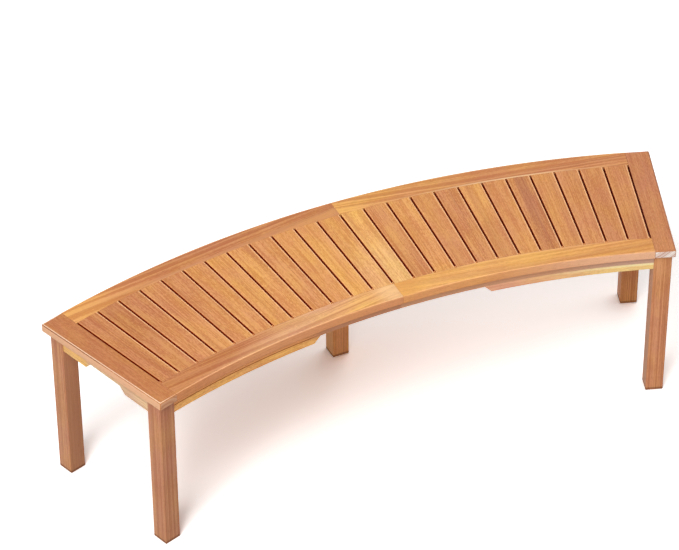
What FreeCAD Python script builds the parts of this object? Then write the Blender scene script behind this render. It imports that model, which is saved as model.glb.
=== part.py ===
import FreeCAD, Part
import math
import os

# Curved garden bench of oiled hardwood, in millimetres and degrees.
# The origin is on the ground under the middle of the seat's box. +X runs to the bench's right end,
# +Y to its convex side and +Z up. Pieces are drawn about the centre of the seat's curve, where an
# angle is counted from +Y towards +X, and are moved to the origin when they are written.

# Seat: two curved rails in halves, two end boards and the slats between them
SEAT_HEIGHT = 450.0
INNER_RADIUS = 2000.0
SEAT_DEPTH = 420.0
SPAN_ANGLE = 40.0
BOARD_THICKNESS = 22.0
RAIL_WIDTH = 56.0
END_BOARD_WIDTH = 57.0
RIM_ROUND = 3.0
SLATS_PER_HALF = 12
SLAT_GAP = 5.0
SLAT_ROUND = 2.0

# Slat tenons in the rails' grooves
GROOVE_DEPTH = 10.0
GROOVE_HEIGHT = 8.0
TENON_SHOULDER = 4.0

# Legs
LEG_SIZE = 45.0
LEG_ROUND = 2.0
LEG_INSET = 10.0
MIDDLE_LEG_INSET = 14.0

# Aprons: a cut-out with sloping shoulders leaves a deep bracket at each leg
APRON_THICKNESS = 22.0
APRON_DEPTH = 40.0
APRON_SETBACK = 2.0
APRON_CUT = 18.0
INNER_CUT_LENGTH = 476.0
OUTER_CUT_LENGTH = 290.0
END_CUT_LENGTH = 142.0

# Hidden cross members
STRETCHER_WIDTH = 45.0
SPLICE_LENGTH = 150.0
SPLICE_THICKNESS = 22.0
BLOCK_HEIGHT = 32.0
BLOCK_DEPTH = 25.0

# Dowels
RAIL_DOWEL_DIAMETER = 8.0
RAIL_DOWEL_LENGTH = 40.0
APRON_DOWEL_DIAMETER = 6.0
APRON_DOWEL_LENGTH = 36.0

# Hanger bolts that pull the corner legs against their blocks
BOLT_DIAMETER = 8.0
BOLT_IN_LEG = 30.0
BOLT_TAIL = 4.0
WASHER_DIAMETER = 20.0
WASHER_THICKNESS = 1.6
NUT_ACROSS_FLATS = 13.0
NUT_HEIGHT = 6.5

# Countersunk screws
SCREW_DIAMETER = 4.0
SCREW_HEAD_DIAMETER = 8.0
SCREW_HEAD_HEIGHT = 2.4
SCREW_BITE = 13.0
SCREWS_PER_APRON = 3

# Clearances
JOINT_LINE = 0.2
TENON_END_GAP = 1.0
DOWEL_CLEARANCE = 0.05
DOWEL_END_GAP = 1.0
BOLT_CLEARANCE = 0.1
BLOCK_HOLE_CLEARANCE = 0.5
SCREW_CLEARANCE = 0.05
COUNTERBORE_CLEARANCE = 1.0

# Worked out from the sizes above
OUTER_RADIUS = INNER_RADIUS + SEAT_DEPTH
HALF_SPAN = SPAN_ANGLE / 2
HALF_GAP = SLAT_GAP / 2
END_BOARD_ANGLE = math.degrees(math.asin((END_BOARD_WIDTH + HALF_GAP) / (INNER_RADIUS + SEAT_DEPTH / 2)))
GAP_ANGLE = HALF_SPAN - END_BOARD_ANGLE
SLAT_PITCH = GAP_ANGLE / SLATS_PER_HALF

BOARD_BOTTOM = SEAT_HEIGHT - BOARD_THICKNESS
BOARD_MIDDLE = SEAT_HEIGHT - BOARD_THICKNESS / 2
SLAT_INNER = INNER_RADIUS + RAIL_WIDTH
SLAT_OUTER = OUTER_RADIUS - RAIL_WIDTH

APRON_BOTTOM = BOARD_BOTTOM - APRON_DEPTH
APRON_WAIST = APRON_BOTTOM + APRON_CUT
INNER_APRON_FACE = INNER_RADIUS + LEG_INSET + APRON_SETBACK
INNER_APRON_BACK = INNER_APRON_FACE + APRON_THICKNESS
OUTER_APRON_FACE = OUTER_RADIUS - MIDDLE_LEG_INSET - APRON_SETBACK
OUTER_APRON_BACK = OUTER_APRON_FACE - APRON_THICKNESS

# The corner legs stand along the last gap line, flush with the end board's inner edge
LEG_NEAR = HALF_GAP
LEG_FAR = HALF_GAP + LEG_SIZE
INNER_LEG_START = INNER_RADIUS + LEG_INSET
INNER_LEG_END = INNER_LEG_START + LEG_SIZE
OUTER_LEG_END = OUTER_RADIUS - LEG_INSET
OUTER_LEG_START = OUTER_LEG_END - LEG_SIZE
MIDDLE_LEG_END = OUTER_RADIUS - MIDDLE_LEG_INSET
MIDDLE_LEG_START = MIDDLE_LEG_END - LEG_SIZE

DOWEL_IN_LEG = LEG_SIZE / 3

END_APRON_FACE = LEG_FAR - APRON_SETBACK
END_APRON_BACK = END_APRON_FACE - APRON_THICKNESS
END_APRON_MIDDLE = (END_APRON_FACE + END_APRON_BACK) / 2
SPLICE_BACK = INNER_APRON_BACK + JOINT_LINE + SPLICE_THICKNESS

Vector = FreeCAD.Vector
UP = Vector(0, 0, 1)
CENTRE = Vector(0, 0, 0)


def place(angle, along, across, z=0.0):
    """Point that lies along the radius at an angle, and across from it towards larger angles."""
    turn = math.radians(angle)
    x = along * math.sin(turn) + across * math.cos(turn)
    y = along * math.cos(turn) - across * math.sin(turn)
    return Vector(x, y, z)


def place_on_arc(radius, side, z=0.0):
    """Point on the circle of a radius where a side line, given as (angle, across), meets it."""
    angle, across = side
    return place(angle, math.sqrt(radius ** 2 - across ** 2), across, z)


def side_angle(radius, side):
    """Angle at which a side line meets the circle of a radius."""
    angle, across = side
    return angle + math.degrees(math.asin(across / radius))


def arc_edge(radius, start, end, z):
    """Arc of a radius about the curve's centre, from one side line to another."""
    middle = (side_angle(radius, start) + side_angle(radius, end)) / 2
    points = [place_on_arc(radius, start, z), place(middle, radius, 0.0, z), place_on_arc(radius, end, z)]
    return Part.Arc(*points).toShape()


def arc_board(inner, outer, start, end, bottom, top):
    """Board between two radii and two side lines."""
    edges = [
        arc_edge(inner, start, end, bottom),
        Part.LineSegment(place_on_arc(inner, end, bottom), place_on_arc(outer, end, bottom)).toShape(),
        arc_edge(outer, start, end, bottom),
        Part.LineSegment(place_on_arc(outer, start, bottom), place_on_arc(inner, start, bottom)).toShape(),
    ]
    return Part.Face(Part.Wire(Part.__sortEdges__(edges))).extrude(UP * (top - bottom))


def prism(points, sweep):
    """Solid swept from a polygon."""
    return Part.Face(Part.makePolygon(points + points[:1])).extrude(sweep)


def upright_block(angle, along, across, bottom, top):
    """Block with its sides along and across the radius at an angle, given as (low, high) pairs."""
    corners = [(along[0], across[0]), (along[1], across[0]), (along[1], across[1]), (along[0], across[1])]
    return prism([place(angle, a, c, bottom) for a, c in corners], UP * (top - bottom))


def mirrored(shape):
    """The same piece on the other half of the bench."""
    return shape.mirror(CENTRE, Vector(1, 0, 0))


def is_upright(edge):
    """Whether an edge stands straight up."""
    ends = [vertex.Point for vertex in edge.Vertexes]
    return abs(abs(ends[0].z - ends[-1].z) - edge.Length) < 1e-6


def is_arc(edge, radius):
    """Whether an edge is a level arc of a radius."""
    return isinstance(edge.Curve, Part.Circle) and abs(edge.Curve.Radius - radius) < 1e-6


def rounded(solid, radius, chosen):
    """Solid with the edges that a test chooses rounded."""
    return solid.makeFillet(radius, [edge for edge in solid.Edges if chosen(edge)])


def turned_to(shape, base, direction):
    """Shape drawn about +Z at the centre, moved to a base point and turned to a direction."""
    shape.Placement = FreeCAD.Placement(base, FreeCAD.Rotation(UP, direction))
    return shape


# Fasteners, each with a clearance that turns it into its own hole

def dowel(middle, direction, diameter, length, clearance=0.0, end_gap=0.0):
    """Round dowel about its middle."""
    full = length + 2 * end_gap
    return Part.makeCylinder(diameter / 2 + clearance, full, middle - direction * (full / 2), direction)


def rail_dowel(middle, direction):
    """Dowel of the seat's boards, and its hole."""
    size = (RAIL_DOWEL_DIAMETER, RAIL_DOWEL_LENGTH)
    return dowel(middle, direction, *size), dowel(middle, direction, *size, DOWEL_CLEARANCE, DOWEL_END_GAP)


def apron_dowel(middle, direction):
    """Dowel of the aprons and cross members, and its hole."""
    size = (APRON_DOWEL_DIAMETER, APRON_DOWEL_LENGTH)
    return dowel(middle, direction, *size), dowel(middle, direction, *size, DOWEL_CLEARANCE, DOWEL_END_GAP)


def screw_shape(seat, into, length, clearance=0.0):
    """Countersunk screw whose flat head is level with its seat point."""
    shank = SCREW_DIAMETER / 2 + clearance
    head = SCREW_HEAD_DIAMETER / 2 + clearance
    straight = length - SCREW_DIAMETER
    body = Part.makeCylinder(shank, straight, seat, into)
    flare = Part.makeCone(head, shank, SCREW_HEAD_HEIGHT, seat, into)
    point = Part.makeCone(shank, shank / 4, SCREW_DIAMETER + clearance, seat + into * straight, into)
    return body.fuse([flare, point]).removeSplitter()


def screw(seat, into, length):
    """Screw and its hole."""
    return screw_shape(seat, into, length), screw_shape(seat, into, length, SCREW_CLEARANCE)


def upright_screw(place_below):
    """Screw up through an apron into the board above, its hole, and the counterbore below its head."""
    seat = Vector(place_below.x, place_below.y, APRON_WAIST)
    fastener, hole = screw(seat, UP, BOARD_BOTTOM - APRON_WAIST + SCREW_BITE)
    bore_radius = SCREW_HEAD_DIAMETER / 2 + COUNTERBORE_CLEARANCE
    counterbore = Part.makeCylinder(bore_radius, 2 * APRON_CUT, seat - UP * (2 * APRON_CUT), UP)
    return fastener, hole, counterbore


class Fixings:
    """Fasteners of one kind on the right half of the bench."""

    def __init__(self):
        """Start with nothing fixed."""
        self.solids = []

    def add(self, solid, *holes):
        """Keep a fastener, and give back the list of its holes."""
        self.solids.append(solid)
        return list(holes)

    def both_sides(self):
        """The fasteners with their mirror images, as one group."""
        return Part.makeCompound(self.solids + [mirrored(solid) for solid in self.solids])


# Seat boards

def slat():
    """Tapered slat on the midline, with a stub tenon at each end."""
    start = (-SLAT_PITCH / 2, HALF_GAP)
    end = (SLAT_PITCH / 2, -HALF_GAP)
    body = arc_board(SLAT_INNER + JOINT_LINE, SLAT_OUTER - JOINT_LINE, start, end, BOARD_BOTTOM, SEAT_HEIGHT)
    body = rounded(body, SLAT_ROUND, lambda edge: isinstance(edge.Curve, Part.Line) and not is_upright(edge))
    reach = GROOVE_DEPTH - TENON_END_GAP
    half_height = GROOVE_HEIGHT / 2 - JOINT_LINE
    tenons = arc_board(
        SLAT_INNER - reach, SLAT_OUTER + reach,
        (start[0], start[1] + TENON_SHOULDER), (end[0], end[1] - TENON_SHOULDER),
        BOARD_MIDDLE - half_height, BOARD_MIDDLE + half_height,
    )
    return body.fuse(tenons).removeSplitter()


def rail(inner, outer, rim, groove_inner, groove_outer, holes):
    """Right half of a curved rail, rounded along its rim and grooved along the slats' side."""
    start = (0.0, JOINT_LINE / 2)
    end = (GAP_ANGLE, HALF_GAP - JOINT_LINE)
    board = arc_board(inner, outer, start, end, BOARD_BOTTOM, SEAT_HEIGHT)
    board = rounded(board, RIM_ROUND, lambda edge: is_arc(edge, rim))
    groove = arc_board(
        groove_inner, groove_outer, (0.0, -GROOVE_DEPTH), (GAP_ANGLE, GROOVE_DEPTH),
        BOARD_MIDDLE - GROOVE_HEIGHT / 2, BOARD_MIDDLE + GROOVE_HEIGHT / 2,
    )
    return board.cut([groove] + holes)


def end_board(holes):
    """Right end board: its inner edge follows the last gap line, its other edges are rounded."""
    inner_edge = (GAP_ANGLE, HALF_GAP)
    board = arc_board(INNER_RADIUS, OUTER_RADIUS, inner_edge, (HALF_SPAN, 0.0), BOARD_BOTTOM, SEAT_HEIGHT)
    across = place(GAP_ANGLE, 0.0, 1.0)

    def leaves_inner_edge(edge):
        return any(abs(vertex.Point.dot(across) - HALF_GAP) > RIM_ROUND for vertex in edge.Vertexes)

    return rounded(board, RIM_ROUND, leaves_inner_edge).cut(holes)


# Legs, aprons and cross members

def leg(angle, along, across, holes):
    """Square leg with its upright and foot edges rounded."""
    post = upright_block(angle, along, across, 0.0, BOARD_BOTTOM)

    def eased(edge):
        return is_upright(edge) or max(vertex.Point.z for vertex in edge.Vertexes) < LEG_ROUND

    return rounded(post, LEG_ROUND, eased).cut(holes)


def cut_out(opening, point, sweep):
    """Trapezoid that leaves an apron's waist, where point(u, z) is a place u from its middle."""
    foot = opening / 2 + APRON_CUT
    waist = opening / 2 - APRON_CUT
    below = APRON_BOTTOM - APRON_CUT
    corners = [(-foot, below), (foot, below), (waist, APRON_WAIST), (-waist, APRON_WAIST)]
    return prism([point(u, z) for u, z in corners], sweep)


def curved_apron(inner, outer, start, end, opening, opening_angle, holes):
    """Right half of a curved apron with its cut-out."""
    board = arc_board(inner, outer, start, end, APRON_BOTTOM, BOARD_BOTTOM)
    sweep = place(opening_angle, OUTER_RADIUS, 0.0)
    cutter = cut_out(opening, lambda u, z: place(opening_angle, 0.0, u, z), sweep)
    return board.cut([cutter] + holes)


def end_apron(holes):
    """Straight apron between the right end's two legs."""
    along = (INNER_LEG_END + JOINT_LINE, OUTER_LEG_START - JOINT_LINE)
    board = upright_block(GAP_ANGLE, along, (END_APRON_BACK, END_APRON_FACE), APRON_BOTTOM, BOARD_BOTTOM)
    middle = (along[0] + along[1]) / 2
    sweep = place(GAP_ANGLE, 0.0, LEG_FAR)
    cutter = cut_out(END_CUT_LENGTH, lambda u, z: place(GAP_ANGLE, middle + u, 0.0, z), sweep)
    return board.cut([cutter] + holes)


def corner_block(leg_corner, inward, keep, holes):
    """Block in an inside corner, notched round the leg, with a slanting face square to its bolt."""
    along, across = leg_corner
    slant = BLOCK_DEPTH * math.sqrt(2)
    edge = END_APRON_BACK - JOINT_LINE
    base = along - inward * LEG_SIZE
    corners = [
        (base, edge),
        (along + inward * (edge - across + slant), edge),
        (base, across - LEG_SIZE - slant),
    ]
    bottom = BOARD_BOTTOM - BLOCK_HEIGHT
    blank = prism([place(GAP_ANGLE, a, c, bottom) for a, c in corners], UP * BLOCK_HEIGHT)
    near_leg = sorted((along + inward * JOINT_LINE, base - inward * JOINT_LINE))
    notch = upright_block(GAP_ANGLE, near_leg, (across - JOINT_LINE, edge + LEG_SIZE), 0.0, SEAT_HEIGHT)
    return keep(blank).cut([notch] + holes)


# Hanger bolts: a bolt leaves the leg's inside corner at 45 degrees, through the block

def bolt_axis(leg_corner, inward):
    """Where a bolt leaves the leg's corner, and its direction towards the nut."""
    along, across = leg_corner
    start = place(GAP_ANGLE, along, across, BOARD_BOTTOM - BLOCK_HEIGHT / 2)
    return start, place(GAP_ANGLE, inward, -1.0).normalize()


def bolt(start, direction):
    """Hanger bolt from inside the leg to past its nut."""
    length = BOLT_IN_LEG + BLOCK_DEPTH + WASHER_THICKNESS + NUT_HEIGHT + BOLT_TAIL
    return Part.makeCylinder(BOLT_DIAMETER / 2, length, start - direction * BOLT_IN_LEG, direction)


def bolt_hole(start, direction, clearance):
    """Hole for a bolt in a leg or a block."""
    deep = BOLT_IN_LEG + DOWEL_END_GAP
    return Part.makeCylinder(
        BOLT_DIAMETER / 2 + clearance, deep + 2 * BLOCK_DEPTH, start - direction * deep, direction
    )


def washer(start, direction):
    """Washer on the block's slanting face."""
    disc = Part.makeCylinder(WASHER_DIAMETER / 2, WASHER_THICKNESS)
    ring = disc.cut(Part.makeCylinder(BOLT_DIAMETER / 2 + BLOCK_HOLE_CLEARANCE, WASHER_THICKNESS))
    return turned_to(ring, start + direction * BLOCK_DEPTH, direction)


def nut(start, direction):
    """Hexagon nut on the washer."""
    corner = NUT_ACROSS_FLATS / math.sqrt(3)
    turns = [math.radians(60 * step) for step in range(6)]
    hexagon = prism([Vector(corner * math.cos(t), corner * math.sin(t), 0) for t in turns], UP * NUT_HEIGHT)
    body = hexagon.cut(Part.makeCylinder(BOLT_DIAMETER / 2 + BOLT_CLEARANCE, NUT_HEIGHT))
    return turned_to(body, start + direction * (BLOCK_DEPTH + WASHER_THICKNESS), direction)


def inset_points(low, high):
    """Two places a fifth of the way in from each end of a range."""
    return low + (high - low) / 5, high - (high - low) / 5


def leg_dowel(face, out_of_leg):
    """Dowel from a leg into what joins its face, and its hole."""
    return apron_dowel(face + out_of_leg * (APRON_DOWEL_LENGTH / 2 - DOWEL_IN_LEG), out_of_leg)


def build():
    """Every piece of the bench under its own name, about the centre of the seat's curve."""
    pieces = {}
    right = {}

    # Dowels of the seat: two in each butt joint, clear of the groove beside the slats
    rail_dowels = Fixings()
    butt_dowels = []
    rail_spans = {
        "outer": (SLAT_OUTER + GROOVE_DEPTH, OUTER_RADIUS),
        "inner": (INNER_RADIUS, SLAT_INNER - GROOVE_DEPTH),
    }
    rail_holes = {}
    end_board_holes = []
    for rail_name, span in rail_spans.items():
        rail_holes[rail_name] = []
        for radius in inset_points(*span):
            butt, butt_hole = rail_dowel(place(0.0, radius, 0.0, BOARD_MIDDLE), Vector(1, 0, 0))
            butt_dowels.append(butt)
            joint = place(GAP_ANGLE, radius, HALF_GAP, BOARD_MIDDLE)
            joint_hole = rail_dowels.add(*rail_dowel(joint, place(GAP_ANGLE, 0.0, 1.0)))
            rail_holes[rail_name] += [butt_hole] + joint_hole
            end_board_holes += joint_hole

    # Dowels of the legs and aprons
    apron_dowels = Fixings()
    inner_apron_middle = (INNER_APRON_FACE + INNER_APRON_BACK) / 2
    outer_apron_middle = (OUTER_APRON_FACE + OUTER_APRON_BACK) / 2
    to_middle = place(GAP_ANGLE, 0.0, -1.0)
    outwards = place(GAP_ANGLE, 1.0, 0.0)
    inner_joint = []
    outer_joint = []
    middle_joint = []
    end_joint_inner = []
    end_joint_outer = []
    for z in inset_points(APRON_BOTTOM, BOARD_BOTTOM):
        inner_face = place(GAP_ANGLE, inner_apron_middle, LEG_NEAR, z)
        outer_face = place(GAP_ANGLE, outer_apron_middle, LEG_NEAR, z)
        middle_face = place_on_arc(outer_apron_middle, (0.0, LEG_SIZE / 2), z)
        inner_joint += apron_dowels.add(*leg_dowel(inner_face, to_middle))
        outer_joint += apron_dowels.add(*leg_dowel(outer_face, to_middle))
        middle_joint += apron_dowels.add(*leg_dowel(middle_face, Vector(1, 0, 0)))
        end_face_inner = place(GAP_ANGLE, INNER_LEG_END, END_APRON_MIDDLE, z)
        end_face_outer = place(GAP_ANGLE, OUTER_LEG_START, END_APRON_MIDDLE, z)
        end_joint_inner += apron_dowels.add(*leg_dowel(end_face_inner, outwards))
        end_joint_outer += apron_dowels.add(*leg_dowel(end_face_outer, outwards * -1))

    # Dowels at the two ends of the stretcher: half through the splice, and into the middle leg
    stretcher_dowels = Fixings()
    stretcher_middle = (APRON_WAIST + BOARD_BOTTOM) / 2
    leg_face = Vector(STRETCHER_WIDTH / 4, MIDDLE_LEG_START, stretcher_middle)
    splice_end = Vector(STRETCHER_WIDTH / 4, SPLICE_BACK - SPLICE_THICKNESS / 2, stretcher_middle)
    stretcher_leg_holes = stretcher_dowels.add(*leg_dowel(leg_face, Vector(0, -1, 0)))
    stretcher_splice_holes = stretcher_dowels.add(
        *apron_dowel(splice_end + Vector(0, APRON_DOWEL_LENGTH / 2, 0), Vector(0, 1, 0))
    )

    # Screws: up through the aprons into the seat, and through the splice into the inner apron
    seat_screws = Fixings()
    inner_start = (0.0, JOINT_LINE / 2)
    outer_start = (0.0, LEG_SIZE / 2 + JOINT_LINE)
    apron_end = (GAP_ANGLE, LEG_NEAR - JOINT_LINE)
    screw_holes = {"inner": [], "outer": [], "end": []}
    for number in range(1, SCREWS_PER_APRON + 1):
        share = number / (SCREWS_PER_APRON + 1)
        for name, radius, start in (
            ("inner", inner_apron_middle, inner_start),
            ("outer", outer_apron_middle, outer_start),
        ):
            first = side_angle(radius, start)
            turn = first + share * (side_angle(radius, apron_end) - first)
            screw_holes[name] += seat_screws.add(*upright_screw(place(turn, radius, 0.0)))
        along = INNER_LEG_END + share * (OUTER_LEG_START - INNER_LEG_END)
        screw_holes["end"] += seat_screws.add(*upright_screw(place(GAP_ANGLE, along, END_APRON_MIDDLE)))
    splice_screws = Fixings()
    splice_seat = place_on_arc(SPLICE_BACK, (0.0, SPLICE_LENGTH * 3 / 8), stretcher_middle)
    inward = Vector(-splice_seat.x, -splice_seat.y, 0).normalize()
    splice_holes = splice_screws.add(*screw(splice_seat, inward, SPLICE_THICKNESS + SCREW_BITE))

    # Corner legs' bolts
    bolts = Fixings()
    washers = Fixings()
    nuts = Fixings()
    corners = {"inner": ((INNER_LEG_END, LEG_NEAR), 1.0), "outer": ((OUTER_LEG_START, LEG_NEAR), -1.0)}
    leg_bolt_holes = {}
    block_bolt_holes = {}
    for name, (leg_corner, inward_sign) in corners.items():
        axis = bolt_axis(leg_corner, inward_sign)
        bolts.add(bolt(*axis))
        washers.add(washer(*axis))
        nuts.add(nut(*axis))
        leg_bolt_holes[name] = [bolt_hole(*axis, BOLT_CLEARANCE)]
        block_bolt_holes[name] = [bolt_hole(*axis, BLOCK_HOLE_CLEARANCE)]

    # Seat boards
    pattern = slat()
    for number in range(2 * SLATS_PER_HALF):
        board = pattern.copy()
        board.rotate(CENTRE, UP, -(number + 0.5 - SLATS_PER_HALF) * SLAT_PITCH)
        pieces[f"slat_{number + 1:02d}"] = board
    right["outer_rail"] = rail(
        SLAT_OUTER, OUTER_RADIUS, OUTER_RADIUS, SLAT_OUTER - GROOVE_DEPTH, SLAT_OUTER + GROOVE_DEPTH,
        rail_holes["outer"] + screw_holes["outer"],
    )
    right["inner_rail"] = rail(
        INNER_RADIUS, SLAT_INNER, INNER_RADIUS, SLAT_INNER - GROOVE_DEPTH, SLAT_INNER + GROOVE_DEPTH,
        rail_holes["inner"] + screw_holes["inner"],
    )
    right["end_board"] = end_board(end_board_holes + screw_holes["end"])

    # Legs
    right["inner_leg"] = leg(
        GAP_ANGLE, (INNER_LEG_START, INNER_LEG_END), (LEG_NEAR, LEG_FAR),
        inner_joint + end_joint_inner + leg_bolt_holes["inner"],
    )
    right["outer_leg"] = leg(
        GAP_ANGLE, (OUTER_LEG_START, OUTER_LEG_END), (LEG_NEAR, LEG_FAR),
        outer_joint + end_joint_outer + leg_bolt_holes["outer"],
    )
    middle_holes = middle_joint + stretcher_leg_holes
    pieces["middle_leg"] = leg(
        0.0, (MIDDLE_LEG_START, MIDDLE_LEG_END), (-LEG_SIZE / 2, LEG_SIZE / 2),
        middle_holes + [mirrored(hole) for hole in middle_holes],
    )

    # Aprons
    right["inner_apron"] = curved_apron(
        INNER_APRON_FACE, INNER_APRON_BACK, inner_start, apron_end, INNER_CUT_LENGTH, 0.0,
        inner_joint + screw_holes["inner"] + splice_holes,
    )
    outer_cut_angle = (
        side_angle(outer_apron_middle, outer_start) + side_angle(outer_apron_middle, apron_end)
    ) / 2
    right["outer_apron"] = curved_apron(
        OUTER_APRON_BACK, OUTER_APRON_FACE, outer_start, apron_end, OUTER_CUT_LENGTH, outer_cut_angle,
        outer_joint + middle_joint + screw_holes["outer"],
    )
    right["end_apron"] = end_apron(end_joint_inner + end_joint_outer + screw_holes["end"])

    # Cross members under the middle of the seat
    splice = arc_board(
        INNER_APRON_BACK + JOINT_LINE, SPLICE_BACK, (0.0, -SPLICE_LENGTH / 2), (0.0, SPLICE_LENGTH / 2),
        APRON_WAIST, BOARD_BOTTOM,
    )
    splice_cuts = splice_holes + stretcher_splice_holes
    pieces["inner_splice"] = splice.cut(splice_cuts + [mirrored(hole) for hole in splice_cuts])
    stretcher = upright_block(
        0.0, (SPLICE_BACK + JOINT_LINE, MIDDLE_LEG_START - JOINT_LINE),
        (-STRETCHER_WIDTH / 2, STRETCHER_WIDTH / 2), APRON_WAIST, BOARD_BOTTOM,
    )
    stretcher_cuts = stretcher_leg_holes + stretcher_splice_holes
    pieces["centre_stretcher"] = stretcher.cut(stretcher_cuts + [mirrored(hole) for hole in stretcher_cuts])

    # Corner blocks, fitted to the curved aprons' backs
    inside_outer_apron = Part.makeCylinder(OUTER_APRON_BACK - JOINT_LINE, SEAT_HEIGHT)
    inside_inner_apron = Part.makeCylinder(INNER_APRON_BACK + JOINT_LINE, SEAT_HEIGHT)
    right["inner_corner_block"] = corner_block(
        *corners["inner"], lambda blank: blank.cut(inside_inner_apron), block_bolt_holes["inner"]
    )
    right["outer_corner_block"] = corner_block(
        *corners["outer"], lambda blank: blank.common(inside_outer_apron), block_bolt_holes["outer"]
    )

    for name, shape in right.items():
        pieces[f"right_{name}"] = shape
        pieces[f"left_{name}"] = mirrored(shape)

    # Identical fasteners share a group
    pieces["rail_dowels"] = Part.makeCompound(butt_dowels + [rail_dowels.both_sides()])
    pieces["apron_dowels"] = apron_dowels.both_sides()
    pieces["stretcher_dowels"] = stretcher_dowels.both_sides()
    pieces["seat_screws"] = seat_screws.both_sides()
    pieces["splice_screws"] = splice_screws.both_sides()
    pieces["hanger_bolts"] = bolts.both_sides()
    pieces["bolt_washers"] = washers.both_sides()
    pieces["bolt_nuts"] = nuts.both_sides()
    return pieces


def write(pieces):
    """Move every piece to the bench's origin and write it under its name."""
    os.makedirs("parts", exist_ok=True)
    lowest_corner = place(HALF_SPAN, INNER_RADIUS + RIM_ROUND, -RIM_ROUND).y - RIM_ROUND
    origin_y = (lowest_corner + OUTER_RADIUS) / 2
    for name, shape in pieces.items():
        moved = shape.copy()
        moved.translate(Vector(0, -origin_y, 0))
        moved.exportStep(f"parts/{name}.step")


if __name__ == "__main__":
    write(build())
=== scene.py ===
"""Curved garden bench of oiled hardwood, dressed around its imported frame.

Lengths are metres and angles radians. An angle on the seat is counted from +Y towards +X about the centre
of the seat's curve, and a place there is given along that radius and across it.
"""
import logging
import math
import random
from dataclasses import dataclass
from enum import Enum
from typing import Any, Callable, Mapping, Sequence

import bmesh
import bpy
from mathutils import Matrix, Vector


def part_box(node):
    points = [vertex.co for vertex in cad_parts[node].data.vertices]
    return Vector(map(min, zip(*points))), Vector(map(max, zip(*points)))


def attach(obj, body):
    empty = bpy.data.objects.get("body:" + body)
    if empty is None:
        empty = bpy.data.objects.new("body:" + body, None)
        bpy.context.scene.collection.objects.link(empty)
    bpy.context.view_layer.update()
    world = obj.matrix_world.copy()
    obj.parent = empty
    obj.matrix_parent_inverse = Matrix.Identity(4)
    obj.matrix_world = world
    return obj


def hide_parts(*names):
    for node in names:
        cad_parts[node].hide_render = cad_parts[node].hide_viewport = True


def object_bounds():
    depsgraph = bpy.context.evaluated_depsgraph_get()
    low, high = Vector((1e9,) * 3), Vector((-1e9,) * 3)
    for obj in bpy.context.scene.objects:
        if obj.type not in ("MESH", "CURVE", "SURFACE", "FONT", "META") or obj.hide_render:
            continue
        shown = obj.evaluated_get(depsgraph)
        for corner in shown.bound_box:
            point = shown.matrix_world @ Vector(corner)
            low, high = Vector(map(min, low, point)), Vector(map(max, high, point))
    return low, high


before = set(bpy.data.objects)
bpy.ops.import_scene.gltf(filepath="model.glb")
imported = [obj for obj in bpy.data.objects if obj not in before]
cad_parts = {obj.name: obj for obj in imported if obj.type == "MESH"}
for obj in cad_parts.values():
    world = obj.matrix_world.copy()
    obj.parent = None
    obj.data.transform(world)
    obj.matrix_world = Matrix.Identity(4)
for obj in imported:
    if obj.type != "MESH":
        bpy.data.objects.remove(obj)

LOG = logging.getLogger("bench")
CAD_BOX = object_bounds()
BODY = "root"
WEAR_AND_PAINTED_LIGHT = "wear"
UP = (0.0, 0.0, 1.0)
WHITE = (1.0, 1.0, 1.0, 1.0)
SEED_SHIFT = (3.1, 7.7, 5.3)
Triple = tuple[float, float, float]
Colour = Triple
Span = tuple[float, float]
Test = Callable[[Any], bool]


# Shader maths

class Value:
    """A shader socket that Python's operators can reckon with."""

    def __init__(self, sheet: "Sheet", socket: bpy.types.NodeSocket) -> None:
        """Keep a socket and the sheet that it is on."""
        self.sheet = sheet
        self.socket = socket

    def _math(self, operation: str, *terms: Any) -> "Value":
        """Add a Math node on the terms."""
        return self.sheet.add("ShaderNodeMath", {"operation": operation}, dict(enumerate(terms)))

    def __add__(self, other: Any) -> "Value":
        """Sum."""
        return self._math("ADD", self, other)

    __radd__ = __add__

    def __sub__(self, other: Any) -> "Value":
        """Difference."""
        return self._math("SUBTRACT", self, other)

    def __rsub__(self, other: Any) -> "Value":
        """Difference from a plain number."""
        return self._math("SUBTRACT", other, self)

    def __mul__(self, other: Any) -> "Value":
        """Product."""
        return self._math("MULTIPLY", self, other)

    __rmul__ = __mul__

    def __truediv__(self, other: Any) -> "Value":
        """Quotient."""
        return self._math("DIVIDE", self, other)

    def __pow__(self, other: Any) -> "Value":
        """Power."""
        return self._math("POWER", self, other)

    def __abs__(self) -> "Value":
        """Size without its sign."""
        return self._math("ABSOLUTE", self)

    def larger(self, other: Any) -> "Value":
        """The larger of two values."""
        return self._math("MAXIMUM", self, other)

    def step(self, low: float, high: float) -> "Value":
        """Smooth step from 0 at low to 1 at high."""
        sockets = {"Value": self, "From Min": low, "From Max": high}
        return self.sheet.add("ShaderNodeMapRange", {"interpolation_type": "SMOOTHSTEP"}, sockets)


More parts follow.
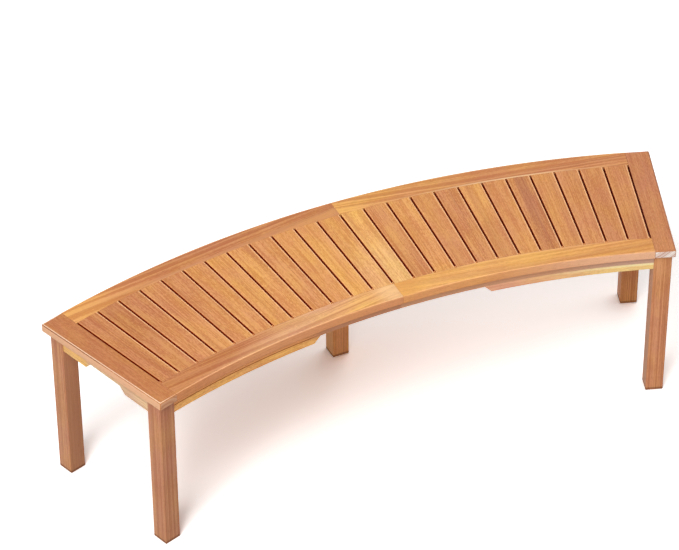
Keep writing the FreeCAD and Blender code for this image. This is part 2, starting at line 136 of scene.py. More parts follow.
class Sheet:
    """The node tree of one material or of the world."""

    def __init__(
        self, tree: bpy.types.NodeTree, output: str, material: bpy.types.Material | None = None
    ) -> None:
        """Empty a tree and give it an output node.

        Args:
            tree: The tree.
            output: The output node's type.
            material: The material that the tree belongs to, if it does.
        """
        tree.nodes.clear()
        self.tree = tree
        self.output = tree.nodes.new(output)
        self.material = material

    @classmethod
    def of_material(cls, name: str) -> "Sheet":
        """Make a new material.

        Args:
            name: The material's name.

        Returns:
            Its sheet.
        """
        material = bpy.data.materials.new(name)
        material.use_nodes = True
        return cls(material.node_tree, "ShaderNodeOutputMaterial", material)

    def add(
        self,
        kind: str,
        settings: Mapping[str, Any] | None = None,
        sockets: Mapping[int | str, Any] | None = None,
        output: int | str = 0,
    ) -> Value:
        """Add a node.

        Args:
            kind: The node's type.
            settings: The node's own settings, which are set first.
            sockets: Values or links of its inputs, by name or number.
            output: The output that is wanted.

        Returns:
            That output.
        """
        node = self.tree.nodes.new(kind)
        for name, setting in (settings or {}).items():
            setattr(node, name, setting)
        for key, given in (sockets or {}).items():
            if isinstance(given, Value):
                self.tree.links.new(given.socket, node.inputs[key])
            else:
                node.inputs[key].default_value = given
        return Value(self, node.outputs[output])

    def surface(self, shader: Value) -> None:
        """Link a shader to the sheet's output."""
        self.tree.links.new(shader.socket, self.output.inputs["Surface"])

    def parts(self, vector: Value) -> tuple[Value, Value, Value]:
        """Split a vector into its three numbers."""
        node = self.add("ShaderNodeSeparateXYZ", None, {0: vector}).socket.node
        return tuple(Value(self, socket) for socket in node.outputs)

    def facing(self, normal: Value, way: Triple) -> Value:
        """How far a surface faces one way, from -1 to 1."""
        return self.add("ShaderNodeVectorMath", {"operation": "DOT_PRODUCT"}, {0: normal, 1: way}, 1)

    def mix(self, first: Any, second: Any, share: Any, blend: str = "MIX") -> Value:
        """Mix two colours, by the share of the second one."""
        settings = {"data_type": "RGBA", "blend_type": blend}
        return self.add("ShaderNodeMix", settings, {0: share, 6: first, 7: second}, 2)

    def noise(self, vector: Value, stretch: Triple, seed: float, detail: float, rough: float = 0.5) -> Value:
        """Noise with its own scale along each axis.

        Args:
            vector: Place on the board.
            stretch: Features per metre along each axis.
            seed: Shift that gives each board its own pattern.
            detail: Octaves of finer noise.
            rough: Strength of the finer noise.

        Returns:
            Noise from 0 to 1, about 0.5.
        """
        placing = {0: vector, 1: stretch, 2: tuple(seed * way for way in SEED_SHIFT)}
        place = self.add("ShaderNodeVectorMath", {"operation": "MULTIPLY_ADD"}, placing)
        sockets = {"Vector": place, "Scale": 1.0, "Detail": detail, "Roughness": rough}
        return self.add("ShaderNodeTexNoise", {"noise_dimensions": "3D"}, sockets)


def linear(tone: Colour) -> tuple[float, float, float, float]:
    """Turn a colour of 0 to 255, as a picture shows it, into a shader's colour."""
    shares = [value / 255 for value in tone]
    return (*(s / 12.92 if s <= 0.04045 else ((s + 0.055) / 1.055) ** 2.4 for s in shares), 1.0)


def blended(first: Colour, second: Colour, share: float) -> Colour:
    """Colour part of the way from one tone to another."""
    return tuple(a + (b - a) * share for a, b in zip(first, second))


# Finishes

# The first two colours are painted shade: on the board faces inside the gaps, and on the slats' rounded
# edges that slope into the gaps
GAP_PAINTED_SHADE = (132, 28, 0)
GAP_EDGE_PAINTED_SHADE = (206, 112, 28)
JOINT_SHADE = (112, 58, 34)


class Tone(Enum):
    """Oiled hardwood's body colours."""

    CREAM = (255, 226, 148)
    BUFF = (255, 203, 114)
    PEACH = (230, 197, 159)
    SAFFRON = (255, 188, 106)
    STRAW = (244, 192, 120)
    SAND = (238, 180, 112)
    WHEAT = (236, 176, 105)
    BISQUE = (226, 170, 126)
    FAWN = (240, 180, 140)
    APRICOT = (255, 180, 112)
    SUN = (243, 182, 99)
    GOLD = (233, 168, 92)
    HONEY = (226, 158, 90)
    AMBER = (217, 148, 88)
    COPPER = (209, 139, 86)
    TAWNY = (207, 140, 98)
    RUSSET = (199, 129, 80)
    ROSE = (196, 126, 84)
    SIENNA = (188, 118, 72)
    UMBER = (188, 128, 93)


@dataclass(frozen=True)
class Grain:
    """How a board was cut: its middle, the way its grain runs and its length."""

    middle: Triple
    turn: Triple
    length: float

    @classmethod
    def level(cls, middle: Vector, heading: float, length: float) -> "Grain":
        """Grain that runs level, at an angle from +X towards +Y."""
        return cls(tuple(middle), (0.0, 0.0, heading), length)

    @classmethod
    def upright(cls, middle: Vector, heading: float, length: float) -> "Grain":
        """Grain that runs straight up."""
        return cls(tuple(middle), (0.0, -math.pi / 2, heading), length)

    def axis(self) -> Triple:
        """Direction of the grain."""
        return UP if self.turn[1] else (math.cos(self.turn[2]), math.sin(self.turn[2]), 0.0)


@dataclass(frozen=True)
class Pattern:
    """A noise in the wood: features per metre along and across the grain, its seed's shift and its fineness.

    A long pattern is stretched along the grain by a board's reach.
    """

    along: float
    across: float
    shift: int
    detail: float
    rough: float = 0.5
    long: bool = False

    def laid(self, sheet: Sheet, board: Value, seed: int, reach: float = 1.0) -> Value:
        """Lay the pattern on a board."""
        stretch = (self.along / reach if self.long else self.along, self.across, self.across)
        return sheet.noise(board, stretch, seed + self.shift, self.detail, self.rough)


WANDER = Pattern(3.0, 9.0, 0, 1.0)
PATTERNS = {
    "streaks": Pattern(4.0, 80.0, 11, 4.0, 0.6, long=True),
    "lines": Pattern(8.0, 400.0, 17, 2.0, 0.6, long=True),
    "mottle": Pattern(120.0, 400.0, 29, 2.0),
    "bands": Pattern(1.0, 40.0, 23, 2.0),
    "blotches": Pattern(10.0, 26.0, 53, 3.0),
    "clouds": Pattern(12.0, 12.0, 59, 2.0),
    "fibres": Pattern(22.0, 900.0, 37, 2.0, 0.6),
    "pores": Pattern(55.0, 1300.0, 41, 1.0),
}


@dataclass(frozen=True)
class Figure:
    """Places on one board and the patterns in its wood, which are values of about 0 to 1."""

    along: Value
    across: Value
    height: Value
    normal: Value
    rings: Value
    streaks: Value
    lines: Value
    mottle: Value
    bands: Value
    blotches: Value
    clouds: Value
    fibres: Value
    pores: Value


@dataclass(frozen=True)
class Side:
    """A face of a board with a colour laid over it: the wood's own colour on some faces, painted shade or
    painted light on others.

    The colour is full where the surface faces that way by least + spread or more, and gone below least.
    It may fade in along the board, and lie between two heights.
    """

    facing: Triple
    colour: Colour
    strength: float
    least: float = 0.8
    spread: float = 0.15
    fade: Span | None = None
    between: Span | None = None

    def share(self, sheet: Sheet, figure: Figure, blur: float) -> Value:
        """How much of the colour shows.

        Args:
            sheet: The material's sheet.
            figure: The board's places and patterns.
            blur: How soft the edges at the two heights are.

        Returns:
            The colour's share, from 0 to 1.
        """
        share = sheet.facing(figure.normal, self.facing).step(self.least, self.least + self.spread)
        share = share * self.strength
        if self.fade:
            share = share * figure.along.step(*self.fade)
        if self.between:
            low, high = self.between
            share = share * figure.height.step(low - blur, low + blur)
            share = share * figure.height.step(high + blur, high - blur)
        return share


@dataclass(frozen=True)
class Hardwood:
    """What all boards of the hardwood share: the weights, ranges and strengths of its patterns."""

    pith_aside: float = 0.05
    pith_depth: Span = (0.035, 0.09)
    run_out: float = 0.012
    wander: float = 0.02
    ring_detail: float = 2.0
    ring_rough: float = 0.6
    streaks: float = 1.3
    lines: float = 2.4
    clouds: float = 0.8
    pale_lean: float = 0.22
    deep_lean: float = 0.24
    tint_range: Span = (0.25, 0.75)
    band_range: Span = (0.5, 0.72)
    # Edge rubbing and painted light on marked edges: where it shows on faces that look up, and how strongly,
    # with the paler streaks
    wear_and_painted_light_facing: Span = (0.85, 0.98)
    wear_and_painted_light_power: float = 0.5
    wear_and_painted_light_share: float = 0.6
    side_blur: float = 0.0006
    pore_range: Span = (0.62, 0.72)
    pore_strength: float = 0.3
    fibre_floor: float = 0.86
    fibre_rise: float = 0.28
    end_facing: Span = (0.9, 0.99)
    end_ring_range: Span = (0.38, 0.68)
    end_strength: float = 0.85
    fibre_relief: float = 0.6
    streak_relief: float = 0.3
    pore_relief: float = 0.5
    bump_strength: float = 0.35
    bump_depth: float = 0.0004
    roughness: float = 0.5
    fibre_roughness: float = 0.2
    pore_roughness: float = 0.1
    end_roughness: float = 0.12
    sawn_roughness: float = 0.4
    specular: float = 0.12


@dataclass(frozen=True)
class OiledWood:
    """Oiled hardwood whose tone may drift from one end of the board to the other, through a halfway tone."""

    first: Tone
    last: Tone
    seed: int
    halfway: Tone | None = None
    drift_middle: float = 0.5
    drift_width: float = 0.6
    drift_slant: float = 0.0
    contrast: float = 0.9
    dark_streaks: float = 0.2
    ring: float = 0.0045
    figuring: float = 1.1
    mottling: float = 2.4
    reach: float = 1.0
    pale_grain: Colour = (255, 214, 150)
    deep_grain: Colour = (148, 78, 44)
    dark_streak: Colour = (160, 94, 72)
    blush: Triple = (0.985, 0.93, 1.06)
    glow: Triple = (1.025, 1.045, 0.91)
    pore: Colour = (112, 60, 36)
    # Colour of marked edges: a pale one is edge rubbing with a painted highlight, a dark one is painted
    # shade
    edge_wear_and_painted_light: Colour = (254, 195, 144)
    pale_end: Colour = (226, 190, 162)
    end_ring: Colour = (178, 116, 82)
    pith: Span | None = None
    kind: Hardwood = Hardwood()

    def figure(self, sheet: Sheet, grain: Grain) -> Figure:
        """Lay the board's patterns along its grain.

        Args:
            sheet: The material's sheet.
            grain: How the board was cut.

        Returns:
            The places on the board and its patterns.
        """
        kind = self.kind
        draw = random.Random(self.seed)
        drawn_across = draw.uniform(-kind.pith_aside, kind.pith_aside)
        drawn_depth = draw.choice((-1, 1)) * draw.uniform(*kind.pith_depth)
        pith_across, pith_depth = self.pith or (drawn_across, drawn_depth)
        run_out = draw.uniform(-kind.run_out, kind.run_out)
        spot = sheet.add("ShaderNodeTexCoord", output="Object")
        placing = {"Vector": spot, "Location": grain.middle, "Rotation": grain.turn}
        board = sheet.add("ShaderNodeMapping", {"vector_type": "TEXTURE"}, placing)
        along, across, depth = sheet.parts(board)

        # Growth rings about the pith, wandering along the board
        aside = across + (WANDER.laid(sheet, board, self.seed) - 0.5) * kind.wander - pith_across
        below = depth - pith_depth
        radius = (aside * aside + below * below) ** 0.5 + along * run_out
        rings = {
            "W": radius / self.ring + float(self.seed),
            "Scale": 1.0,
            "Detail": kind.ring_detail,
            "Roughness": kind.ring_rough,
        }
        patterns = {
            name: pattern.laid(sheet, board, self.seed, self.reach) for name, pattern in PATTERNS.items()
        }
        return Figure(
            along=along / grain.length + 0.5,
            across=across,
            height=sheet.parts(spot)[2],
            normal=sheet.add("ShaderNodeTexCoord", output="Normal"),
            rings=sheet.add("ShaderNodeTexNoise", {"noise_dimensions": "1D"}, rings),
            **patterns,
        )

    def drifting(self, sheet: Sheet, figure: Figure, leaning: Colour, share: float) -> Value:
        """Run the board's tones along it, each leaned by a share towards a colour of its grain.

        Args:
            sheet: The material's sheet.
            figure: The board's places and patterns.
            leaning: The grain's colour.
            share: How far each tone leans towards it.

        Returns:
            The colour.
        """
        tones = [tone.value for tone in (self.first, self.halfway, self.last) if tone]
        colour, *later = [linear(blended(tone, leaning, share)) for tone in tones]
        start = self.drift_middle - self.drift_width / 2
        place = (figure.along - figure.across * self.drift_slant - start) / self.drift_width * len(later)
        for number, tone in enumerate(later):
            colour = sheet.mix(colour, tone, place.step(number, number + 1))
        return colour

    def body(self, sheet: Sheet, figure: Figure) -> Value:
        """Colour the wood of the board's long faces.

        Args:
            sheet: The material's sheet.
            figure: The board's places and patterns.

        Returns:
            The colour.
        """
        kind = self.kind
        pale = self.drifting(sheet, figure, self.pale_grain, kind.pale_lean)
        deep = self.drifting(sheet, figure, self.deep_grain, kind.deep_lean)
        rise = (figure.rings - 0.5) * self.figuring + (figure.streaks - 0.5) * kind.streaks
        rise = rise + (figure.lines - 0.5) * kind.lines + (figure.mottle - 0.5) * self.mottling
        rise = rise + (figure.clouds - 0.5) * kind.clouds
        colour = sheet.mix(deep, pale, (rise * self.contrast + 0.5).step(0.0, 1.0))
        tint = sheet.mix((*self.glow, 1.0), (*self.blush, 1.0), figure.blotches.step(*kind.tint_range))
        colour = sheet.mix(colour, tint, 1.0, "MULTIPLY")
        dark = figure.bands.step(*kind.band_range) * self.dark_streaks
        return sheet.mix(colour, linear(self.dark_streak), dark)

    def material(self, name: str, grain: Grain, sides: Sequence[Side] = ()) -> bpy.types.Material:
        """Make the board's material.

        Args:
            name: The material's name.
            grain: How the board was cut.
            sides: Faces with a colour laid over them, some of them painted shade or painted light.

        Returns:
            The material.
        """
        kind = self.kind
        sheet = Sheet.of_material(name)
        figure = self.figure(sheet, grain)
        colour = self.body(sheet, figure)

        # Marked edges of the seat get their edge colour, rubbing with painted light, then the faces get the
        # colours laid over them, some of them painted shade
        wear = sheet.add("ShaderNodeAttribute", {"attribute_name": WEAR_AND_PAINTED_LIGHT}, output="Fac")
        worn_and_painted_light = wear ** kind.wear_and_painted_light_power * sheet.parts(figure.normal)[2].step(*kind.wear_and_painted_light_facing)
        worn_and_painted_light = worn_and_painted_light * (kind.wear_and_painted_light_share + figure.streaks * kind.wear_and_painted_light_share)
        colour = sheet.mix(colour, linear(self.edge_wear_and_painted_light), worn_and_painted_light)
        sawn = 0.0
        for side in sides:
            share = side.share(sheet, figure, kind.side_blur)
            colour = sheet.mix(colour, linear(side.colour), share)
            sawn = share * kind.sawn_roughness + sawn
        pores = figure.pores.step(*kind.pore_range)
        colour = sheet.mix(colour, linear(self.pore), pores * kind.pore_strength)
        colour = sheet.mix(colour, kind.fibre_floor + figure.fibres * kind.fibre_rise, 1.0, "MULTIPLY")

        # End grain shows the rings as arcs on a paler ground
        end = abs(sheet.facing(figure.normal, grain.axis())).step(*kind.end_facing)
        arcs = figure.rings.step(*kind.end_ring_range)
        end_wood = sheet.mix(linear(self.pale_end), linear(self.end_ring), arcs)
        colour = sheet.mix(colour, end_wood, end * kind.end_strength)

        relief = figure.fibres * kind.fibre_relief + figure.streaks * kind.streak_relief
        relief = relief - pores * kind.pore_relief
        bumps = {"Strength": kind.bump_strength, "Distance": kind.bump_depth, "Height": relief}
        roughness = kind.roughness + (figure.fibres - 0.5) * kind.fibre_roughness
        roughness = roughness + pores * kind.pore_roughness + end * kind.end_roughness + sawn
        sheet.surface(sheet.add("ShaderNodeBsdfPrincipled", None, {
            "Base Color": colour,
            "Roughness": roughness,
            "Normal": sheet.add("ShaderNodeBump", None, bumps),
            "Specular IOR Level": kind.specular,
        }))
        return sheet.material


@dataclass(frozen=True)
class ZincPlate:
    """Bright zinc plating with a brushed, slightly clouded surface."""

    bright: Colour = (205, 207, 208)
    dull: Colour = (160, 163, 166)
    cloud_scale: Triple = (160.0, 160.0, 160.0)
    cloud_range: Span = (0.35, 0.7)
    brush_scale: Triple = (2600.0, 500.0, 2600.0)
    brush_depth: float = 0.0001
    brush_strength: float = 0.2
    roughness: Span = (0.28, 0.48)

    def material(self, name: str) -> bpy.types.Material:
        """Make the metal's material.

        Args:
            name: The material's name.

        Returns:
            The material.
        """
        sheet = Sheet.of_material(name)
        spot = sheet.add("ShaderNodeTexCoord", output="Object")
        cloud = sheet.noise(spot, self.cloud_scale, seed=3.0, detail=3.0)
        scratches = sheet.noise(spot, self.brush_scale, seed=5.0, detail=2.0)
        bumps = {"Strength": self.brush_strength, "Distance": self.brush_depth, "Height": scratches}
        least, most = self.roughness
        sheet.surface(sheet.add("ShaderNodeBsdfPrincipled", None, {
            "Base Color": sheet.mix(linear(self.bright), linear(self.dull), cloud.step(*self.cloud_range)),
            "Metallic": 1.0,
            "Roughness": least + cloud * (most - least),
            "Normal": sheet.add("ShaderNodeBump", None, bumps),
        }))
        return sheet.material


# Modelling

NEAR = 1e-5
SAME = 1e-6
FACING = 0.99
ROUND_PROFILE = 0.5
ROUND_STEPS = 4
EASE_STEPS = 2
SHARP_ANGLE = math.radians(40)
SMOOTH_ANGLE = math.radians(35)


class Element(Enum):
    """Kinds of mesh element that are selected."""

    VERT = "verts"
    EDGE = "edges"
    FACE = "faces"


def at_place(spot: Vector) -> Test:
    """Test for vertices at a place on the plan."""
    return lambda vert: (vert.co.xy - spot.xy).length < NEAR


def on_plane(point: Vector, normal: Vector) -> Test:
    """Test for edges that lie on a plane."""
    return lambda edge: all(abs((vert.co - point).dot(normal)) < SAME for vert in edge.verts)


def looking(way: Sequence[float]) -> Test:
    """Test for faces that look one way."""
    return lambda face: face.normal.dot(Vector(way)) > FACING


class Workpiece:
    """One piece in the making: a mesh object that is shaped by operators."""

    def __init__(self, obj: bpy.types.Object) -> None:
        """Keep the object."""
        self.obj = obj

    @classmethod
    def added(
        cls,
        name: str,
        primitive: Callable[..., Any],
        scale: Sequence[float] = (1.0, 1.0, 1.0),
        **settings: Any,
    ) -> "Workpiece":
        """Start from a primitive.

        Args:
            name: The piece's name.
            primitive: The operator that adds the primitive.
            scale: The primitive's scale.
            **settings: The operator's settings.

        Returns:
            The piece, with its place and scale in its mesh.
        """
        bpy.ops.object.select_all(action="DESELECT")
        primitive(**settings)
        piece = cls(bpy.context.active_object).named(name)
        piece.obj.scale = scale
        piece.settle()
        return piece

    @classmethod
    def block(cls, name: str, middle: Sequence[float], size: Sequence[float]) -> "Workpiece":
        """Start from a cube of a size."""
        return cls.added(name, bpy.ops.mesh.primitive_cube_add, size, size=1.0, location=middle)

    @classmethod
    def section(cls, name: str, middle: Sequence[float], width: float, height: float) -> "Workpiece":
        """Start from the upright section of a curved board, on the midline."""
        settings = {"size": 1.0, "location": middle, "rotation": (0.0, math.pi / 2, 0.0)}
        return cls.added(name, bpy.ops.mesh.primitive_plane_add, (height, width, 1.0), **settings)

    @classmethod
    def rod(cls, name: str, foot: Vector, radius: float, height: float, sides: int) -> "Workpiece":
        """Start from an upright cylinder on its foot."""
        settings = {"radius": radius, "depth": height, "location": foot + Vector(UP) * height / 2}
        return cls.added(name, bpy.ops.mesh.primitive_cylinder_add, vertices=sides, **settings)

    def named(self, name: str) -> "Workpiece":
        """Name the object and its mesh."""
        self.obj.name = self.obj.data.name = name
        return self

    def hold(self) -> None:
        """Select this piece alone."""
        bpy.ops.object.select_all(action="DESELECT")
        self.obj.select_set(True)
        bpy.context.view_layer.objects.active = self.obj

    def settle(self) -> None:
        """Put the object's place, turn and scale into its mesh."""
        self.hold()
        bpy.ops.object.transform_apply(location=True, rotation=True, scale=True)

    def choose(self, kind: Element, test: Test) -> None:
        """Go into edit mode and select elements.

        Args:
            kind: Kind of element.
            test: Takes an element, and says whether it is picked.
        """
        self.hold()
        bpy.ops.object.mode_set(mode="EDIT")
        bpy.ops.mesh.select_mode(type=kind.name)
        bpy.ops.mesh.select_all(action="DESELECT")
        mesh = bmesh.from_edit_mesh(self.obj.data)
        for element in getattr(mesh, kind.value):
            if test(element):
                element.select_set(True)
        mesh.select_flush_mode()
        bmesh.update_edit_mesh(self.obj.data)

    def choose_all(self) -> None:
        """Go into edit mode and select everything."""
        self.choose(Element.FACE, lambda face: True)

    def done(self) -> "Workpiece":
        """Leave edit mode."""
        bpy.ops.object.mode_set(mode="OBJECT")
        return self

    def draw_out(self, by: Sequence[float]) -> None:
        """Extrude what is selected."""
        bpy.ops.mesh.extrude_region_move(TRANSFORM_OT_translate={"value": by})

    def round_edges(self, test: Test, radius: float, steps: int = ROUND_STEPS) -> None:
        """Round edges.

        Args:
            test: Picks the edges.
            radius: Radius of the rounding.
            steps: Facets of the rounding.
        """
        self.choose(Element.EDGE, test)
        bpy.ops.mesh.bevel(offset=radius, segments=steps, profile=ROUND_PROFILE, affect="EDGES")
        self.done()

    def move(self, test: Test, by: Sequence[float]) -> None:
        """Move vertices.

        Args:
            test: Picks the vertices.
            by: How far they move along each axis.
        """
        self.choose(Element.VERT, test)
        bpy.ops.transform.translate(value=by)
        self.done()

    def split(self, point: Sequence[float], normal: Sequence[float], **settings: Any) -> None:
        """Cut new edges where a plane meets the piece.

        Args:
            point: A point on the plane.
            normal: The way that the plane faces.
            **settings: Further settings of the cut.
        """
        self.choose_all()
        bpy.ops.mesh.bisect(plane_co=point, plane_no=normal, **settings)
        self.done()

    def saw(self, point: Sequence[float], normal: Sequence[float]) -> None:
        """Saw off what lies on a plane's far side, and close the cut."""
        self.split(point, normal, use_fill=True, clear_outer=True)

    def face_outwards(self) -> None:
        """Merge doubles and turn every face outwards."""
        self.choose_all()
        bpy.ops.mesh.remove_doubles(threshold=SAME)
        bpy.ops.mesh.normals_make_consistent(inside=False)
        self.done()

    def sweep(self, centre_y: float, start: float, end: float, steps: int) -> None:
        """Sweep a section on the midline about the curve's centre.

        Args:
            centre_y: Where the curve's centre lies on the Y axis.
            start: Angle at which the sweep starts.
            end: Angle at which it ends.
            steps: Steps in between.
        """
        self.turn(start, centre_y)
        self.choose_all()
        bpy.ops.mesh.spin(steps=steps, angle=end - start, center=(0.0, centre_y, 0.0), axis=UP)
        self.done()
        self.face_outwards()

    def turn(self, angle: float, centre_y: float) -> "Workpiece":
        """Turn the piece about the curve's centre, from +Y towards +X.

        Args:
            angle: How far it turns.
            centre_y: Where the curve's centre lies on the Y axis.

        Returns:
            The piece.
        """
        pivot = Matrix.Translation((0.0, centre_y, 0.0))
        self.obj.matrix_world = pivot @ Matrix.Rotation(-angle, 4, "Z") @ pivot.inverted()
        self.settle()
        return self

    def modify(self, kind: str, **settings: Any) -> None:
        """Apply a modifier.

        Args:
            kind: The modifier's type.
            **settings: Its settings.
        """
        self.hold()
        modifier = self.obj.modifiers.new(kind.lower(), kind)
        for name, setting in settings.items():
            setattr(modifier, name, setting)
        bpy.ops.object.modifier_apply(modifier=modifier.name)

    def cut(self, tool: "Workpiece") -> None:
        """Cut the shape of a tool out of the piece, and put the tool away."""
        self.modify("BOOLEAN", operation="DIFFERENCE", solver="EXACT", object=tool.obj)
        bpy.data.meshes.remove(tool.obj.data)

    def ease(self, width: float) -> None:
        """Ease every sharp edge by a small bevel."""
        self.modify("BEVEL", width=width, segments=EASE_STEPS, limit_method="ANGLE", angle_limit=SHARP_ANGLE)
        self.face_outwards()

    def wear(self, amount: Callable[[bpy.types.MeshVertex], float]) -> None:
        """Mark each vertex with how much edge rubbing and painted light the piece has there.

        Args:
            amount: Takes a vertex, and gives its amount of rubbing and painted light from 0 to 1.
        """
        mesh = self.obj.data
        mark = mesh.attributes.new(WEAR_AND_PAINTED_LIGHT, "FLOAT", "POINT")
        mark.data.foreach_set("value", [float(amount(vertex)) for vertex in mesh.vertices])

    def copy(self, name: str) -> "Workpiece":
        """Copy the piece with a mesh of its own.

        Args:
            name: The copy's name.

        Returns:
            The copy.
        """
        self.hold()
        bpy.ops.object.duplicate(linked=False)
        return Workpiece(bpy.context.active_object).named(name)

    def mirrored(self, name: str) -> "Workpiece":
        """Copy the piece to the other half of the bench.

        Args:
            name: The copy's name.

        Returns:
            The copy.
        """
        twin = self.copy(name)
        twin.obj.scale.x = -1.0
        twin.settle()
        twin.face_outwards()
        return twin

    def finish(
        self, wood: OiledWood, grain: Grain, node: str, slot: str, sides: Sequence[Side] = ()
    ) -> None:
        """Smooth the piece, dress it, and put it in the place of its node.

        Args:
            wood: Its wood.
            grain: How its board was cut.
            node: The CAD node that it stands for.
            slot: The record's material slot that its finish belongs to; not used.
            sides: Faces with a colour laid over them, some of them painted shade or painted light.
        """
        self.hold()
        bpy.ops.object.shade_smooth_by_angle(angle=SMOOTH_ANGLE)
        self.obj.data.materials.clear()
        self.obj.data.materials.append(wood.material(f"{node}_oiled_wood", grain, sides))
        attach(self.obj, BODY)
        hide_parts(node)
        LOG.info("%s for %s: %d faces", self.obj.name, node, len(self.obj.data.polygons))


# The bench

class Half(Enum):
    """Halves of the bench, each with the sign of its angles."""

    RIGHT = 1
    LEFT = -1

    def node(self, name: str) -> str:
        """Name of the half's own node."""
        return f"{self.name.lower()}_{name}"


def both_halves(right: Workpiece, name: str) -> dict[Half, Workpiece]:
    """The right half's piece and its mirror image."""
    return {Half.RIGHT: right, Half.LEFT: right.mirrored(f"left_{name}_board")}


@dataclass(frozen=True)
class Plan:
    """Sizes that the bench's pieces share."""

    seat_height: float = CAD_BOX[1][2]
    inner_radius: float = 2.000
    seat_depth: float = 0.420
    half_span: float = math.radians(20)
    board_thickness: float = 0.022
    rail_width: float = 0.056
    end_board_width: float = 0.057
    slats_per_half: int = 12
    slat_gap: float = 0.005
    leg_size: float = 0.045
    leg_inset: float = 0.010
    middle_leg_inset: float = 0.014
    joint_line: float = 0.0002
    arc_step: float = math.radians(0.5)

    @property
    def outer_radius(self) -> float:
        """Radius of the seat's convex edge."""
        return self.inner_radius + self.seat_depth

    @property
    def mean_radius(self) -> float:
        """Radius of the seat's middle."""
        return self.inner_radius + self.seat_depth / 2

    @property
    def centre_y(self) -> float:
        """Where the centre of the seat's curve lies on the Y axis."""
        return CAD_BOX[1][1] - self.outer_radius

    @property
    def half_gap(self) -> float:
        """Half of the gap between two slats."""
        return self.slat_gap / 2

    @property
    def end_side(self) -> float:
        """How far the rails and aprons reach past the last gap line."""
        return self.half_gap - self.joint_line

    @property
    def gap_angle(self) -> float:
        """Angle of the last gap, beside the end board."""
        return self.half_span - self.end_board_angle

    @property
    def end_board_angle(self) -> float:
        """Angle that an end board takes up."""
        return math.asin((self.end_board_width + self.half_gap) / self.mean_radius)

    @property
    def slat_pitch(self) -> float:
        """Angle from one slat to the next."""
        return self.gap_angle / self.slats_per_half

    @property
    def board_bottom(self) -> float:
        """Height of the seat's underside."""
        return self.seat_height - self.board_thickness

    @property
    def board_middle(self) -> float:
        """Height of the middle of the seat's boards."""
        return self.seat_height - self.board_thickness / 2

    def place(self, angle: float, along: float, across: float = 0.0, z: float = 0.0) -> Vector:
        """Find a point on the plan.

        Args:
            angle: Angle of a radius.
            along: How far the point lies along it.
            across: How far it lies across from it.
            z: Its height.

        Returns:
            The point.
        """
        x = along * math.sin(angle) + across * math.cos(angle)
        y = along * math.cos(angle) - across * math.sin(angle) + self.centre_y
        return Vector((x, y, z))

    def across(self, angle: float) -> Vector:
        """Direction across the radius at an angle."""
        return Vector((math.cos(angle), -math.sin(angle), 0.0))

    def inwards(self, angle: float) -> Vector:
        """Direction along the radius at an angle, towards the curve's centre."""
        return self.place(angle, -1.0) - self.place(angle, 0.0)

    def swept(self, section: Workpiece) -> None:
        """Sweep a section through the right half, and a step past both of its ends."""
        start, end = -self.arc_step, self.gap_angle + self.arc_step
        section.sweep(self.centre_y, start, end, math.ceil((end - start) / self.arc_step))


